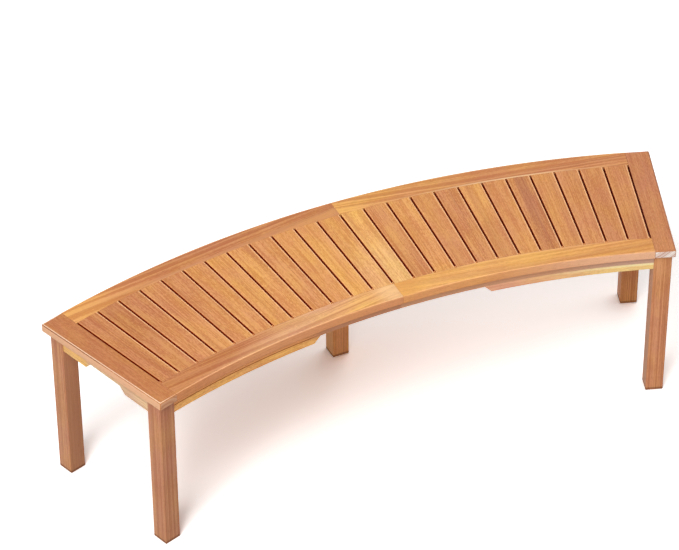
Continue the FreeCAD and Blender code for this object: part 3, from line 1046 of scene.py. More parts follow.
@dataclass
class Slats:
    """The seat's tapered slats, each with a stub tenon in the rails' grooves."""

    plan: Plan
    edge_round: float = 0.0008
    # Width of the slats' edge rubbing and painted highlight, and its amount on each long edge
    wear_width: float = 0.0030
    left_wear_and_highlight: float = 0.1
    right_wear_and_highlight: float = 1.0
    shoulder_line: float = 0.0004
    tenon_shoulder: float = 0.004
    tenon_height: float = 0.0076
    tenon_length: float = 0.0092
    arris_least: float = 0.25
    gap_least: float = 0.85

    def half_width(self, along: float) -> float:
        """Half of a slat's width at a place along it."""
        return along * math.tan(self.plan.slat_pitch / 2) - self.plan.half_gap

    def pattern(self) -> Workpiece:
        """Model one slat on the midline.

        Returns:
            The slat.
        """
        plan = self.plan
        start = plan.inner_radius + plan.rail_width + self.shoulder_line
        end = plan.outer_radius - plan.rail_width - self.shoulder_line
        middle = (start + end) / 2
        wide = self.half_width(middle)
        centre = plan.place(0.0, middle, z=plan.board_middle)
        slat = Workpiece.block("slat_pattern", centre, (2 * wide, end - start, plan.board_thickness))
        for along in (start, end):
            for side in (-1, 1):
                shift = (side * (self.half_width(along) - wide), 0.0, 0.0)
                slat.move(at_place(plan.place(0.0, along, side * wide)), shift)
        slat.round_edges(
            lambda edge: abs(edge.verts[0].co.y - edge.verts[1].co.y) > middle - start, self.edge_round
        )
        for side in (-1, 1):
            self.add_tenon(slat, side)
        self.wear_edges(slat)
        return slat

    def wear_edges(self, slat: Workpiece) -> None:
        """Mark the slat's long edges with rubbing and a painted highlight, the right one more than the left.

        Args:
            slat: The slat.
        """
        plan = self.plan
        inset = plan.half_gap + self.edge_round + self.wear_width
        lines = []
        for side, amount in ((-1, self.left_wear_and_highlight), (1, self.right_wear_and_highlight)):
            turn = side * plan.slat_pitch / 2
            point = plan.place(turn, plan.inner_radius, -side * inset)
            outwards = side * plan.across(turn)
            slat.split(point, outwards)
            lines.append((point, outwards, amount))

        def amount_at(vertex: bpy.types.MeshVertex) -> float:
            """Rubbing and painted highlight at a vertex of the slat."""
            return max(
                amount if (vertex.co - point).xy.dot(outwards.xy) > NEAR else 0.0
                for point, outwards, amount in lines
            )

        slat.wear(amount_at)

    def add_tenon(self, slat: Workpiece, side: int) -> None:
        """Draw a tenon out of one end of the slat.

        Args:
            slat: The slat.
            side: Sign of the end's direction.
        """
        slat.choose(Element.FACE, looking((0.0, side, 0.0)))
        bpy.ops.mesh.inset(thickness=self.tenon_shoulder)
        flat = self.tenon_height / (self.plan.board_thickness - 2 * self.tenon_shoulder)
        bpy.ops.transform.resize(value=(1.0, 1.0, flat), center_override=(0.0, 0.0, self.plan.board_middle))
        slat.draw_out((0.0, side * self.tenon_length, 0.0))
        slat.done()

    def build(self, finishes: Sequence[OiledWood]) -> None:
        """Copy the pattern round the seat and dress each slat.

        Args:
            finishes: Each slat's finish, from the left end to the right. Its grain runs outwards.
        """
        plan = self.plan
        pattern = self.pattern()
        length = plan.seat_depth - 2 * plan.rail_width
        # Painted shade on the slats' faces inside the gaps and on the rounded edges that slope into them
        gap_painted_shades = ((GAP_EDGE_PAINTED_SHADE, self.arris_least), (GAP_PAINTED_SHADE, self.gap_least))
        for number, wood in enumerate(finishes):
            angle = (number + 0.5 - plan.slats_per_half) * plan.slat_pitch
            node = f"slat_{number + 1:02d}"
            slat = pattern.copy(f"seat_{node}").turn(angle, plan.centre_y)
            middle = plan.place(angle, plan.mean_radius, z=plan.board_middle)
            grain = Grain.level(middle, math.pi / 2 - angle, length)
            sides = [
                Side(tuple(plan.across(angle) * way), shade, 1.0, least)
                for way in (-1, 1) for shade, least in gap_painted_shades
            ]
            slat.finish(wood, grain, node, "slat_wood", sides)
        bpy.data.objects.remove(pattern.obj)


@dataclass(frozen=True)
class RailFinish:
    """Finish of half a rail: its wood, its rim's colours at both ends, painted shade on the outer rails, and
    its rubbing and painted highlight along the slats.

    The joint tint is a colour that its top takes on towards the middle joint.
    """

    wood: OiledWood
    left_rim: Colour
    right_rim: Colour
    side_wear_and_highlight: float
    joint_tint: Colour | None = None


@dataclass
class Rails:
    """The curved rails along the seat's two edges, each in two halves."""

    plan: Plan
    rim_round: float = 0.002
    rim_steps: int = 5
    groove_depth: float = 0.010
    groove_height: float = 0.008
    joint_ease: float = 0.0006
    # Rubbing and painted highlight along the rails' edges; along the slats it peaks around a given place
    # along the rail
    wear_width: float = 0.006
    wear_slack: float = 5e-5
    rim_wear_and_highlight: float = 0.45
    rim_wear_and_highlight_width: float = 0.002
    wear_middle: float = 0.58
    wear_spread: float = 0.17
    # Colours of the rims, which are painted shade on the outer rails
    rim_strength: float = 0.6
    rim_least: float = 0.5
    rim_fade: Span = (0.3, 0.9)
    joint_strength: float = 0.9
    joint_least: float = 0.4
    tint_strength: float = 0.6
    tint_fade: Span = (0.12, 0.03)

    def half(self, name: str, slat_side: float, rim: float) -> Workpiece:
        """Model the right half of a rail.

        Args:
            name: The piece's name.
            slat_side: Radius of the edge that is grooved for the slats.
            rim: Radius of the seat's edge.

        Returns:
            The rail.
        """
        plan = self.plan
        centre = plan.place(0.0, (slat_side + rim) / 2, z=plan.board_middle)
        rail = Workpiece.section(name, centre, abs(rim - slat_side), plan.board_thickness)
        self.groove(rail, slat_side, rim)
        for radius in self.wear_and_highlight_lines(slat_side, rim):
            rail.split(plan.place(0.0, radius), (0.0, 1.0, 0.0))
        rim_y = plan.place(0.0, rim).y
        rail.choose(Element.VERT, lambda vert: abs(vert.co.y - rim_y) < SAME)
        bpy.ops.mesh.bevel(
            offset=self.rim_round, segments=self.rim_steps, profile=ROUND_PROFILE, affect="VERTICES"
        )
        rail.done()
        plan.swept(rail)
        start_point = plan.place(0.0, rim, plan.joint_line / 2)
        end_point = plan.place(plan.gap_angle, rim, plan.end_side)
        for point, outwards in ((start_point, -plan.across(0.0)), (end_point, plan.across(plan.gap_angle))):
            rail.saw(point, outwards)
            rail.round_edges(on_plane(point, outwards), self.joint_ease, EASE_STEPS)
        return rail

    def groove(self, rail: Workpiece, slat_side: float, rim: float) -> None:
        """Cut the groove into the rail's section.

        Args:
            rail: The section.
            slat_side: Radius of the edge that is grooved.
            rim: Radius of the other edge.
        """
        plan = self.plan
        inwards = math.copysign(self.groove_depth, rim - slat_side)
        bottom = plan.place(0.0, slat_side + inwards)
        for height in (-self.groove_height / 2, self.groove_height / 2):
            rail.split((0.0, 0.0, plan.board_middle + height), UP)
        rail.split(bottom, (0.0, 1.0, 0.0))

        def in_groove(face: Any) -> bool:
            """Tell the section's faces in the groove from the others.

            Args:
                face: A face.

            Returns:
                Whether it lies in the groove.
            """
            spot = face.calc_center_median()
            beyond = (spot.y - bottom.y) * inwards < 0
            return beyond and abs(spot.z - plan.board_middle) < self.groove_height / 2

        rail.choose(Element.FACE, in_groove)
        bpy.ops.mesh.delete(type="FACE")
        rail.done()

    def wear_and_highlight_lines(self, slat_side: float, rim: float) -> Span:
        """Radii at which the rubbing and painted highlight along the slats' side and along the rim ends."""
        inwards = math.copysign(1.0, slat_side - rim)
        return slat_side - inwards * self.wear_width, rim + inwards * (self.rim_round + self.rim_wear_and_highlight_width)

    def wear_edges(self, rail: Workpiece, slat_side: float, rim: float, side_wear_and_highlight: float) -> None:
        """Mark a rail's long edges with rubbing and painted highlight, the one along the slats most around a
        given place along the rail.

        Args:
            rail: The rail.
            slat_side: Radius of the edge along the slats.
            rim: Radius of the seat's edge.
            side_wear_and_highlight: How much rubbing and painted highlight the rail has along the slats.
        """
        centre = self.plan.place(0.0, 0.0)
        inwards = math.copysign(1.0, slat_side - rim)
        wear_and_highlight_side, wear_and_highlight_rim = self.wear_and_highlight_lines(slat_side, rim)

        def amount_at(vertex: bpy.types.MeshVertex) -> float:
            """Find the rubbing and painted highlight at a place on the rail.

            Args:
                vertex: A vertex of the rail.

            Returns:
                Its rubbing and painted highlight, from 0 to 1.
            """
            spot = vertex.co - centre
            radius = spot.xy.length
            if (radius - wear_and_highlight_side) * inwards > self.wear_slack:
                turn = abs(math.atan2(spot.x, spot.y)) / self.plan.gap_angle
                return side_wear_and_highlight * math.exp(-((turn - self.wear_middle) / self.wear_spread) ** 2)
            return self.rim_wear_and_highlight if (radius - wear_and_highlight_rim) * inwards < -self.wear_slack else 0.0

        rail.wear(amount_at)

    def sides(self, finish: RailFinish, half: Half, outwards: Vector) -> list[Side]:
        """Colours of a rail's rim, which are painted shade on the outer rails, of its sawn ends and of its
        top near the joint.

        Args:
            finish: The rail's finish.
            half: Half of the bench that it is on.
            outwards: The way that its rim faces.

        Returns:
            The faces with a colour laid over them.
        """
        rim = (self.rim_strength, self.rim_least)
        across = self.plan.across(half.value * self.plan.gap_angle / 2) * half.value
        faces = [
            Side(tuple(outwards), finish.left_rim, *rim),
            Side(tuple(outwards), finish.right_rim, *rim, fade=self.rim_fade),
            Side(tuple(across), JOINT_SHADE, self.joint_strength, self.joint_least),
        ]
        if finish.joint_tint:
            right = half is Half.RIGHT
            fade = self.tint_fade if right else tuple(1 - share for share in self.tint_fade)
            faces.append(Side(UP, finish.joint_tint, self.tint_strength, fade=fade))
        return faces

    def build(self, finishes: Mapping[str, RailFinish]) -> None:
        """Model both rails, mirror them and dress the halves.

        Args:
            finishes: Each half's finish by its node's name. The grain runs from left to right.
        """
        plan = self.plan
        edges = {
            "outer_rail": (plan.outer_radius - plan.rail_width, plan.outer_radius),
            "inner_rail": (plan.inner_radius + plan.rail_width, plan.inner_radius),
        }
        for name, (slat_side, rim) in edges.items():
            right = self.half(f"right_{name}_board", slat_side, rim)
            for half, rail in both_halves(right, name).items():
                node = half.node(name)
                finish = finishes[node]
                angle = half.value * plan.gap_angle / 2
                middle = plan.place(angle, (slat_side + rim) / 2, z=plan.board_middle)
                grain = Grain.level(middle, -angle, rim * plan.gap_angle)
                outwards = (plan.place(angle, rim) - plan.place(angle, slat_side)).normalized()
                self.wear_edges(rail, slat_side, rim, finish.side_wear_and_highlight)
                rail.finish(finish.wood, grain, node, "rail_wood", self.sides(finish, half, outwards))


@dataclass
class EndBoards:
    """The tapered boards that close the seat's two ends."""

    plan: Plan
    rim_round: float = 0.003
    wear_width: float = 0.0015
    gap_least: float = 0.85
    sawn_edge: Colour = (240, 193, 156)
    sawn_strength: float = 0.75
    arris_streak: Colour = (136, 78, 56)
    arris_lean: Span = (0.77, 0.64)
    arris_strength: float = 0.7
    arris_least: float = 0.88
    arris_spread: float = 0.08
    arris_fade: Span = (0.4, 0.55)

    def right(self) -> Workpiece:
        """Model the right end board.

        Returns:
            The board.
        """
        plan = self.plan
        inner, outer = plan.inner_radius, plan.outer_radius
        near = plan.half_gap
        far = near + plan.end_board_width
        centre = plan.place(0.0, plan.mean_radius, (near + far) / 2, plan.board_middle)
        size = (far - near, outer - inner, plan.board_thickness)
        board = Workpiece.block("right_end_board_board", centre, size)
        for radius in (inner, outer):
            flush = Vector((near, math.sqrt(radius ** 2 - near ** 2) + plan.centre_y))
            tip = plan.place(plan.end_board_angle, radius).xy
            for x, target in ((near, flush), (far, tip)):
                corner = plan.place(0.0, radius, x)
                board.move(at_place(corner), (*(target - corner.xy), 0.0))
        board.round_edges(
            lambda edge: any(abs(vert.co.x - near) > self.rim_round for vert in edge.verts), self.rim_round
        )
        # Marked top edges take the board's edge colour: a painted highlight on the left board, painted shade
        # on the right one
        board.choose(Element.FACE, looking(UP))
        bpy.ops.mesh.inset(thickness=self.wear_width)
        board.done()
        flat = {index for face in board.obj.data.polygons if face.select for index in face.vertices}
        board.wear(lambda vertex: vertex.co.x > near + self.wear_width and vertex.index not in flat)
        return board.turn(plan.gap_angle, plan.centre_y)

    def build(self, finishes: Mapping[Half, OiledWood]) -> None:
        """Model the right board, mirror it and dress both.

        Args:
            finishes: Each board's finish. Its grain runs outwards.
        """
        plan = self.plan
        for half, board in both_halves(self.right(), "end_board").items():
            angle = half.value * plan.gap_angle
            across = half.value * plan.end_board_width / 2
            middle = plan.place(angle, plan.mean_radius, across, plan.board_middle)
            grain = Grain.level(middle, math.pi / 2 - angle, plan.seat_depth)
            outwards = plan.across(angle) * half.value
            out, up = self.arris_lean
            arris = (outwards * out + Vector(UP) * up).normalized()
            # The first face's colour is painted shade in the gap beside the last slat
            faces = [
                Side(tuple(-outwards), GAP_PAINTED_SHADE, 1.0, self.gap_least),
                Side(tuple(outwards), self.sawn_edge, self.sawn_strength),
                Side(
                    tuple(arris), self.arris_streak, self.arris_strength, self.arris_least,
                    self.arris_spread, self.arris_fade,
                ),
            ]
            board.finish(finishes[half], grain, half.node("end_board"), "end_board_wood", faces)


class LegFace(Enum):
    """Faces of a leg that may carry painted shade or painted light."""

    LEFT = "towards the bench's left end"
    FRONT = "towards the sitter"


@dataclass
class Legs:
    """Four square corner legs along the last gap lines, and one under the outer rail's middle."""

    plan: Plan
    edge_round: float = 0.002
    face_painted_light_strength: float = 0.8
    foot_height: float = 0.008
    # Painted shade round the foot of each leg, where it meets the floor
    foot_painted_shade: Colour = (92, 52, 32)
    foot_painted_shade_strength: float = 0.5
    foot_slack: float = 0.01
    every_way: Span = (-1.5, 0.1)

    def post(self, name: str, along: float, across: float) -> Workpiece:
        """Model a leg in the midline's frame.

        Args:
            name: The piece's name.
            along: Place of its middle along the midline.
            across: Place of its middle across the midline.

        Returns:
            The leg.
        """
        plan = self.plan
        centre = plan.place(0.0, along, across, plan.board_bottom / 2)
        leg = Workpiece.block(name, centre, (plan.leg_size, plan.leg_size, plan.board_bottom))
        leg.round_edges(
            lambda edge: min(vert.co.z for vert in edge.verts) < self.edge_round, self.edge_round
        )
        return leg

    def build(
        self, finishes: Mapping[str, OiledWood], face_painted_light: Mapping[tuple[str, LegFace], Colour]
    ) -> None:
        """Model the legs and dress them.

        Args:
            finishes: Each leg's finish by its node's name.
            face_painted_light: Painted shade and light on single faces, by leg and face.
        """
        plan = self.plan
        half_leg = plan.leg_size / 2
        inner = plan.inner_radius + plan.leg_inset + half_leg
        outer = plan.outer_radius - plan.leg_inset - half_leg
        middle = plan.outer_radius - plan.middle_leg_inset - half_leg
        across = plan.half_gap + half_leg
        legs = {}
        for name, along in (("inner_leg", inner), ("outer_leg", outer)):
            right = self.post(f"right_{name}_board", along, across).turn(plan.gap_angle, plan.centre_y)
            for half, leg in both_halves(right, name).items():
                legs[half.node(name)] = (leg, half.value * plan.gap_angle, along, half.value * across)
        legs["middle_leg"] = (self.post("middle_leg_board", middle, 0.0), 0.0, middle, 0.0)
        # Painted shade round the foot of each leg, where it meets the floor
        feet = (-self.foot_slack, self.foot_height)
        foot = Side(UP, self.foot_painted_shade, self.foot_painted_shade_strength, *self.every_way, between=feet)
        for node, (leg, angle, along, aside) in legs.items():
            spot = plan.place(angle, along, aside, plan.board_bottom / 2)
            grain = Grain.upright(spot, -angle, plan.board_bottom)
            ways = {LegFace.LEFT: -plan.across(angle), LegFace.FRONT: plan.inwards(angle)}
            # Painted shade and light on single faces
            faces = [
                Side(tuple(way), face_painted_light[node, face], self.face_painted_light_strength)
                for face, way in ways.items() if (node, face) in face_painted_light
            ]
            leg.finish(finishes[node], grain, node, "leg_wood", [*faces, foot])


@dataclass(frozen=True)
class Band:
    """A level band of painted shade, or a line, on an apron's face, between two heights over its cut-out,
    which may fade in along it.
    """

    colour: Colour
    low: float
    high: float
    fade: Span | None = None
    strength: float = 0.9

    def side(self, facing: Vector, waist: float) -> Side:
        """The band on a face that looks one way, over a cut-out of a height."""
        between = (waist + self.low, waist + self.high)
        return Side(tuple(facing), self.colour, self.strength, fade=self.fade, between=between)


@dataclass
class Aprons:
    """Aprons under the seat, with a cut-out between their brackets."""

    plan: Plan
    thickness: float = 0.022
    depth: float = 0.040
    setback: float = 0.002
    cut: float = 0.018
    inner_opening: float = 0.476
    outer_opening: float = 0.290
    end_opening: float = 0.142
    edge_ease: float = 0.001
    screw_places: Triple = (0.25, 0.5, 0.75)
    screw_shank: float = 0.00205
    screw_head: float = 0.00405
    screw_head_height: float = 0.0024
    counterbore: float = 0.005
    drill_sides: int = 32

    @property
    def bottom(self) -> float:
        """Height of the brackets' lower edge."""
        return self.plan.board_bottom - self.depth

    @property
    def middle(self) -> float:
        """Height of the aprons' middle."""
        return self.bottom + self.depth / 2

    @property
    def waist(self) -> float:
        """Height of the cut-out's upper edge."""
        return self.bottom + self.cut

    def cutter(self, spot: Vector, opening: float) -> Workpiece:
        """Model the tool that cuts an opening.

        Args:
            spot: Place of the opening's middle.
            opening: Its length.

        Returns:
            The tool.
        """
        foot = opening / 2 + self.cut
        top = opening / 2 - self.cut
        centre = (spot.x, spot.y, self.waist - self.cut)
        tool = Workpiece.block("cut_out_tool", centre, (2 * foot, 4 * self.thickness, 2 * self.cut))
        tool.choose(Element.FACE, looking(UP))
        bpy.ops.transform.resize(value=(top / foot, 1.0, 1.0), center_override=centre)
        return tool.done()

    def drill(self, spot: Vector) -> Workpiece:
        """Model the tool that drills a screw's hole, its countersink and its counterbore.

        Args:
            spot: Place of the screw.

        Returns:
            The tool.
        """
        length = 2 * self.cut
        top = (spot.x, spot.y, self.waist)
        foot = Vector((spot.x, spot.y, self.waist - length))
        tool = Workpiece.rod("drill_tool", foot, self.counterbore, length, self.drill_sides)
        tool.choose(Element.FACE, looking(UP))
        bpy.ops.mesh.inset(thickness=self.counterbore - self.screw_head)
        tool.draw_out((0.0, 0.0, self.screw_head_height))
        narrow = self.screw_shank / self.screw_head
        bpy.ops.transform.resize(value=(narrow, narrow, 1.0), center_override=top)
        tool.draw_out((0.0, 0.0, self.depth))
        return tool.done()

    def shaped(self, apron: Workpiece, cutter: Workpiece, screws: Sequence[Vector]) -> Workpiece:
        """Cut an apron's opening, drill its screw holes and ease its edges.

        Args:
            apron: The apron.
            cutter: The tool that cuts its opening.
            screws: Places of its screws.

        Returns:
            The apron.
        """
        apron.cut(cutter)
        for spot in screws:
            apron.cut(self.drill(spot))
        apron.ease(self.edge_ease)
        return apron

    def reach(self, start: float, radius: float) -> Span:
        """Angles at which a curved apron starts and ends, at a radius."""
        plan = self.plan
        return math.asin(start / radius), plan.gap_angle + math.asin(plan.end_side / radius)

    def curved(self, name: str, mean: float, start: float, opening: float, middle: float) -> Workpiece:
        """Model the right half of a curved apron.

        Args:
            name: The piece's name.
            mean: Radius of its middle.
            start: How far from the midline it starts.
            opening: Length of the cut-out.
            middle: Angle of the cut-out's middle.

        Returns:
            The apron.
        """
        plan = self.plan
        apron = Workpiece.section(name, plan.place(0.0, mean, z=self.middle), self.thickness, self.depth)
        plan.swept(apron)
        apron.saw(plan.place(0.0, mean, start), -plan.across(0.0))
        apron.saw(plan.place(plan.gap_angle, mean, plan.end_side), plan.across(plan.gap_angle))
        cutter = self.cutter(plan.place(0.0, mean), opening).turn(middle, plan.centre_y)
        first, last = self.reach(start, mean)
        screws = [plan.place(first + (last - first) * share, mean) for share in self.screw_places]
        return self.shaped(apron, cutter, screws)

    def straight(self, name: str) -> Workpiece:
        """Model the right end's apron.

        Args:
            name: The piece's name.

        Returns:
            The apron.
        """
        plan = self.plan
        inset = plan.leg_inset + plan.leg_size
        start = plan.inner_radius + inset
        length = plan.seat_depth - 2 * inset
        across = plan.half_gap + plan.leg_size - self.setback - self.thickness / 2
        centre = plan.place(0.0, plan.mean_radius, across, self.middle)
        apron = Workpiece.block(name, centre, (self.thickness, length - 2 * plan.joint_line, self.depth))
        cutter = self.cutter(Vector((0.0, 0.0, 0.0)), self.end_opening)
        cutter.obj.rotation_euler.z = math.pi / 2
        cutter.obj.location = (centre.x, centre.y, 0.0)
        cutter.settle()
        screws = [plan.place(0.0, start + length * share, across) for share in self.screw_places]
        return self.shaped(apron, cutter, screws).turn(plan.gap_angle, plan.centre_y)

    def build(self, finishes: Mapping[str, OiledWood], bands: Mapping[str, Sequence[Band]]) -> None:
        """Model the aprons, mirror them and dress them.

        Args:
            finishes: Each apron's finish by its node's name.
            bands: Level bands of painted shade, and lines, on the inner aprons' faces.
        """
        plan = self.plan
        half_board = self.thickness / 2
        inner_face = plan.inner_radius + plan.leg_inset + self.setback
        outer_face = plan.outer_radius - plan.middle_leg_inset - self.setback
        outer_start = plan.leg_size / 2 + plan.joint_line
        inner_mean = inner_face + half_board
        outer_mean = outer_face - half_board
        outer_middle = sum(self.reach(outer_start, outer_mean)) / 2
        inner_shape = (inner_mean, plan.joint_line / 2, self.inner_opening, 0.0)
        outer_shape = (outer_mean, outer_start, self.outer_opening, outer_middle)
        inner = self.curved("right_inner_apron_board", *inner_shape)
        outer = self.curved("right_outer_apron_board", *outer_shape)
        for name, right, face in (("inner_apron", inner, inner_face), ("outer_apron", outer, outer_face)):
            for half, apron in both_halves(right, name).items():
                node = half.node(name)
                angle = half.value * plan.gap_angle / 2
                grain = Grain.level(plan.place(angle, face, z=self.middle), -angle, face * plan.gap_angle)
                sides = [band.side(plan.inwards(angle), self.waist) for band in bands.get(node, ())]
                apron.finish(finishes[node], grain, node, "apron_wood", sides)
        right = self.straight("right_end_apron_board")
        for half, apron in both_halves(right, "end_apron").items():
            node = half.node("end_apron")
            angle = half.value * plan.gap_angle
            middle = plan.place(angle, plan.mean_radius, z=self.middle)
            grain = Grain.level(middle, math.pi / 2 - angle, plan.seat_depth)
            apron.finish(finishes[node], grain, node, "apron_wood")


@dataclass
class HiddenFrame:
    """Cross members, dowels and fasteners under the seat, which keep their CAD shapes."""

    plan: Plan
    first_seed: int = 300

    def dress(self) -> None:
        """Give each node its finish."""
        turn = self.plan.gap_angle
        headings = {
            "centre_stretcher": math.pi / 2,
            "inner_splice": 0.0,
            "left_inner_corner_block": turn,
            "left_outer_corner_block": turn,
            "right_inner_corner_block": -turn,
            "right_outer_corner_block": -turn,
            "rail_dowels": 0.0,
            "apron_dowels": 0.0,
            "stretcher_dowels": math.pi / 2,
        }
        for number, (node, heading) in enumerate(headings.items()):
            low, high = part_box(node)
            grain = Grain.level((low + high) / 2, heading, (high - low).length)
            wood = OiledWood(Tone.COPPER, Tone.AMBER, seed=self.first_seed + number)
            self.paint(node, wood.material(f"{node}_oiled_wood", grain))
        zinc = ZincPlate().material("zinc_plate")
        for node in ("seat_screws", "splice_screws", "hanger_bolts", "bolt_washers", "bolt_nuts"):
            self.paint(node, zinc)

    def paint(self, node: str, material: bpy.types.Material) -> None:
        """Put a material on a CAD node.

        Args:
            node: The node's name.
            material: The material.
        """
        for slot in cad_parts[node].material_slots:
            slot.material = material
        LOG.info("%s dressed with %s", node, material.name)


# Stage

@dataclass(frozen=True)
class Softbox:
    """A large soft light that faces the bench, placed by its bearing from the front towards the right."""

    name: str
    bearing: float
    elevation: float
    distance: float
    width: float
    height: float
    power: float

    def hang(self, aim: Vector) -> None:
        """Hang the light so that it faces a point.

        Args:
            aim: The point.
        """
        level = math.cos(self.elevation)
        way = (level * math.sin(self.bearing), -level * math.cos(self.bearing), math.sin(self.elevation))
        place = Vector(way) * self.distance
        data = bpy.data.lights.new(self.name, "AREA")
        data.shape = "RECTANGLE"
        data.size = self.width
        data.size_y = self.height
        data.energy = self.power
        light = bpy.data.objects.new(self.name, data)
        bpy.context.scene.collection.objects.link(light)
        turn = (-place).to_track_quat("-Z", "Y").to_matrix().to_4x4()
        light.matrix_world = Matrix.Translation(aim + place) @ turn


@dataclass
class Studio:
    """Pale floor, soft light and the camera at the photograph's viewing angle."""

    image_width: float = 679.0
    focal_pixels: float = 3267.4
    sensor: float = 36.0
    camera_place: Triple = (-2.72797, -5.68786, 5.32663)
    yaw: float = 0.43271
    pitch: float = 0.66199
    roll: float = -0.00512
    view_reach: float = 200.0
    floor_size: float = 60.0
    floor_bounce: Colour = (224, 220, 216)
    floor_white: float = 1.54
    shadow_reach: Span = (1.8, 3.2)
    ambient: float = 0.24
    aim: Triple = (0.0, 0.0, 0.3)
    softboxes: tuple[Softbox, ...] = (
        Softbox("front_softbox", math.radians(-47), math.radians(47), 9.0, 3.8, 6.5, 668.0),
        Softbox("back_softbox", math.radians(115), math.radians(56), 9.0, 8.0, 7.0, 306.0),
    )

    def build(self) -> None:
        """Set the stage."""
        bpy.context.scene.view_settings.view_transform = "Standard"
        self.camera()
        self.floor()
        self.sky()
        for softbox in self.softboxes:
            softbox.hang(Vector(self.aim))

    def camera(self) -> None:
        """Stand the camera where the photograph was taken."""
        data = bpy.data.cameras.new("photo_camera")
        data.sensor_fit = "HORIZONTAL"
        data.sensor_width = self.sensor
        data.lens = self.focal_pixels * self.sensor / self.image_width
        data.clip_end = self.view_reach
        camera = bpy.data.objects.new("photo_camera", data)
        bpy.context.scene.collection.objects.link(camera)
        camera.matrix_world = (
            Matrix.Translation(self.camera_place)
            @ Matrix.Rotation(-self.yaw, 4, "Z")
            @ Matrix.Rotation(math.pi / 2 - self.pitch, 4, "X")
            @ Matrix.Rotation(self.roll, 4, "Z")
        )
        bpy.context.scene.camera = camera

    def seen(self, sheet: Sheet) -> Value:
        """Tell the camera's own rays, and those that show in gloss or glass, from the rays that carry light.

        Args:
            sheet: The sheet that needs to know.

        Returns:
            1 where a ray is seen, and 0 elsewhere.
        """
        outputs = sheet.add("ShaderNodeLightPath").socket.node.outputs
        camera, glossy, glass = (
            Value(sheet, outputs[f"Is {name} Ray"]) for name in ("Camera", "Glossy", "Transmission")
        )
        return camera.larger(glossy).larger(glass)

    def floor(self) -> None:
        """Lay a pale floor that keeps the bench's soft shadow, and that is clear from below."""
        bpy.ops.object.select_all(action="DESELECT")
        bpy.ops.mesh.primitive_plane_add(size=self.floor_size)
        floor = bpy.context.active_object
        floor.name = "floor"
        sheet = Sheet.of_material("pale_floor")
        pale_colour = (*(self.floor_white,) * 3, 1.0)
        bounce = sheet.add("ShaderNodeBsdfDiffuse", None, {"Color": linear(self.floor_bounce)})
        pale = sheet.add("ShaderNodeBsdfDiffuse", None, {"Color": pale_colour})
        far_white = sheet.add("ShaderNodeEmission", None, {"Color": WHITE, "Strength": 1.0})
        spot = sheet.add("ShaderNodeTexCoord", output="Object")
        distance = sheet.add("ShaderNodeVectorMath", {"operation": "LENGTH"}, {0: spot}, 1)
        reach = distance.step(*self.shadow_reach)
        shown = sheet.add("ShaderNodeMixShader", None, {0: reach, 1: pale, 2: far_white})
        upper = sheet.add("ShaderNodeMixShader", None, {0: self.seen(sheet), 1: bounce, 2: shown})
        below = sheet.add("ShaderNodeNewGeometry", output="Backfacing")
        clear = sheet.add("ShaderNodeBsdfTransparent")
        sheet.surface(sheet.add("ShaderNodeMixShader", None, {0: below, 1: upper, 2: clear}))
        floor.data.materials.append(sheet.material)

    def sky(self) -> None:
        """Light the studio from all round, on a white background."""
        world = bpy.data.worlds.new("studio")
        bpy.context.scene.world = world
        world.use_nodes = True
        sheet = Sheet(world.node_tree, "ShaderNodeOutputWorld")
        light = sheet.add("ShaderNodeBackground", None, {"Color": WHITE, "Strength": self.ambient})
        white = sheet.add("ShaderNodeBackground", None, {"Color": WHITE, "Strength": 1.0})
        sheet.surface(sheet.add("ShaderNodeMixShader", None, {0: self.seen(sheet), 1: light, 2: white}))


# Each slat's tones at its inner and outer ends and its contrast, from the left end to the right
SLAT_WOODS = (
    (Tone.RUSSET, Tone.RUSSET, 0.9),
    (Tone.RUSSET, Tone.SIENNA, 0.9),
    (Tone.COPPER, Tone.RUSSET, 0.9),
    (Tone.AMBER, Tone.COPPER, 0.9),
    (Tone.AMBER, Tone.COPPER, 0.9),
    (Tone.AMBER, Tone.AMBER, 0.9),
    (Tone.HONEY, Tone.HONEY, 0.9),
    (Tone.HONEY, Tone.HONEY, 1.1),
    (Tone.AMBER, Tone.AMBER, 1.1),
    (Tone.HONEY, Tone.HONEY, 0.7),
    (Tone.GOLD, Tone.HONEY, 0.7),
    (Tone.SAND, Tone.HONEY, 0.9),
    (Tone.STRAW, Tone.SUN, 0.9),
    (Tone.COPPER, Tone.AMBER, 1.3),
    (Tone.HONEY, Tone.HONEY, 1.1),
    (Tone.COPPER, Tone.AMBER, 0.7),
    (Tone.COPPER, Tone.COPPER, 1.3),
    (Tone.COPPER, Tone.HONEY, 0.7),
    (Tone.AMBER, Tone.AMBER, 0.7),
    (Tone.RUSSET, Tone.COPPER, 1.2),
    (Tone.AMBER, Tone.AMBER, 0.7),
    (Tone.COPPER, Tone.COPPER, 0.7),
    (Tone.RUSSET, Tone.COPPER, 0.7),
    (Tone.RUSSET, Tone.COPPER, 0.7),
)
SLAT_SEED = 100

# Slats with stronger dark streaks, counted from 0 at the left end
STREAKED_SLATS = {16: 0.5, 19: 0.6}
SLAT_FINISHES = [
    OiledWood(
        first, last, SLAT_SEED + number, contrast=contrast,
        dark_streaks=STREAKED_SLATS.get(number, OiledWood.dark_streaks),
    )
    for number, (first, last, contrast) in enumerate(SLAT_WOODS)
]

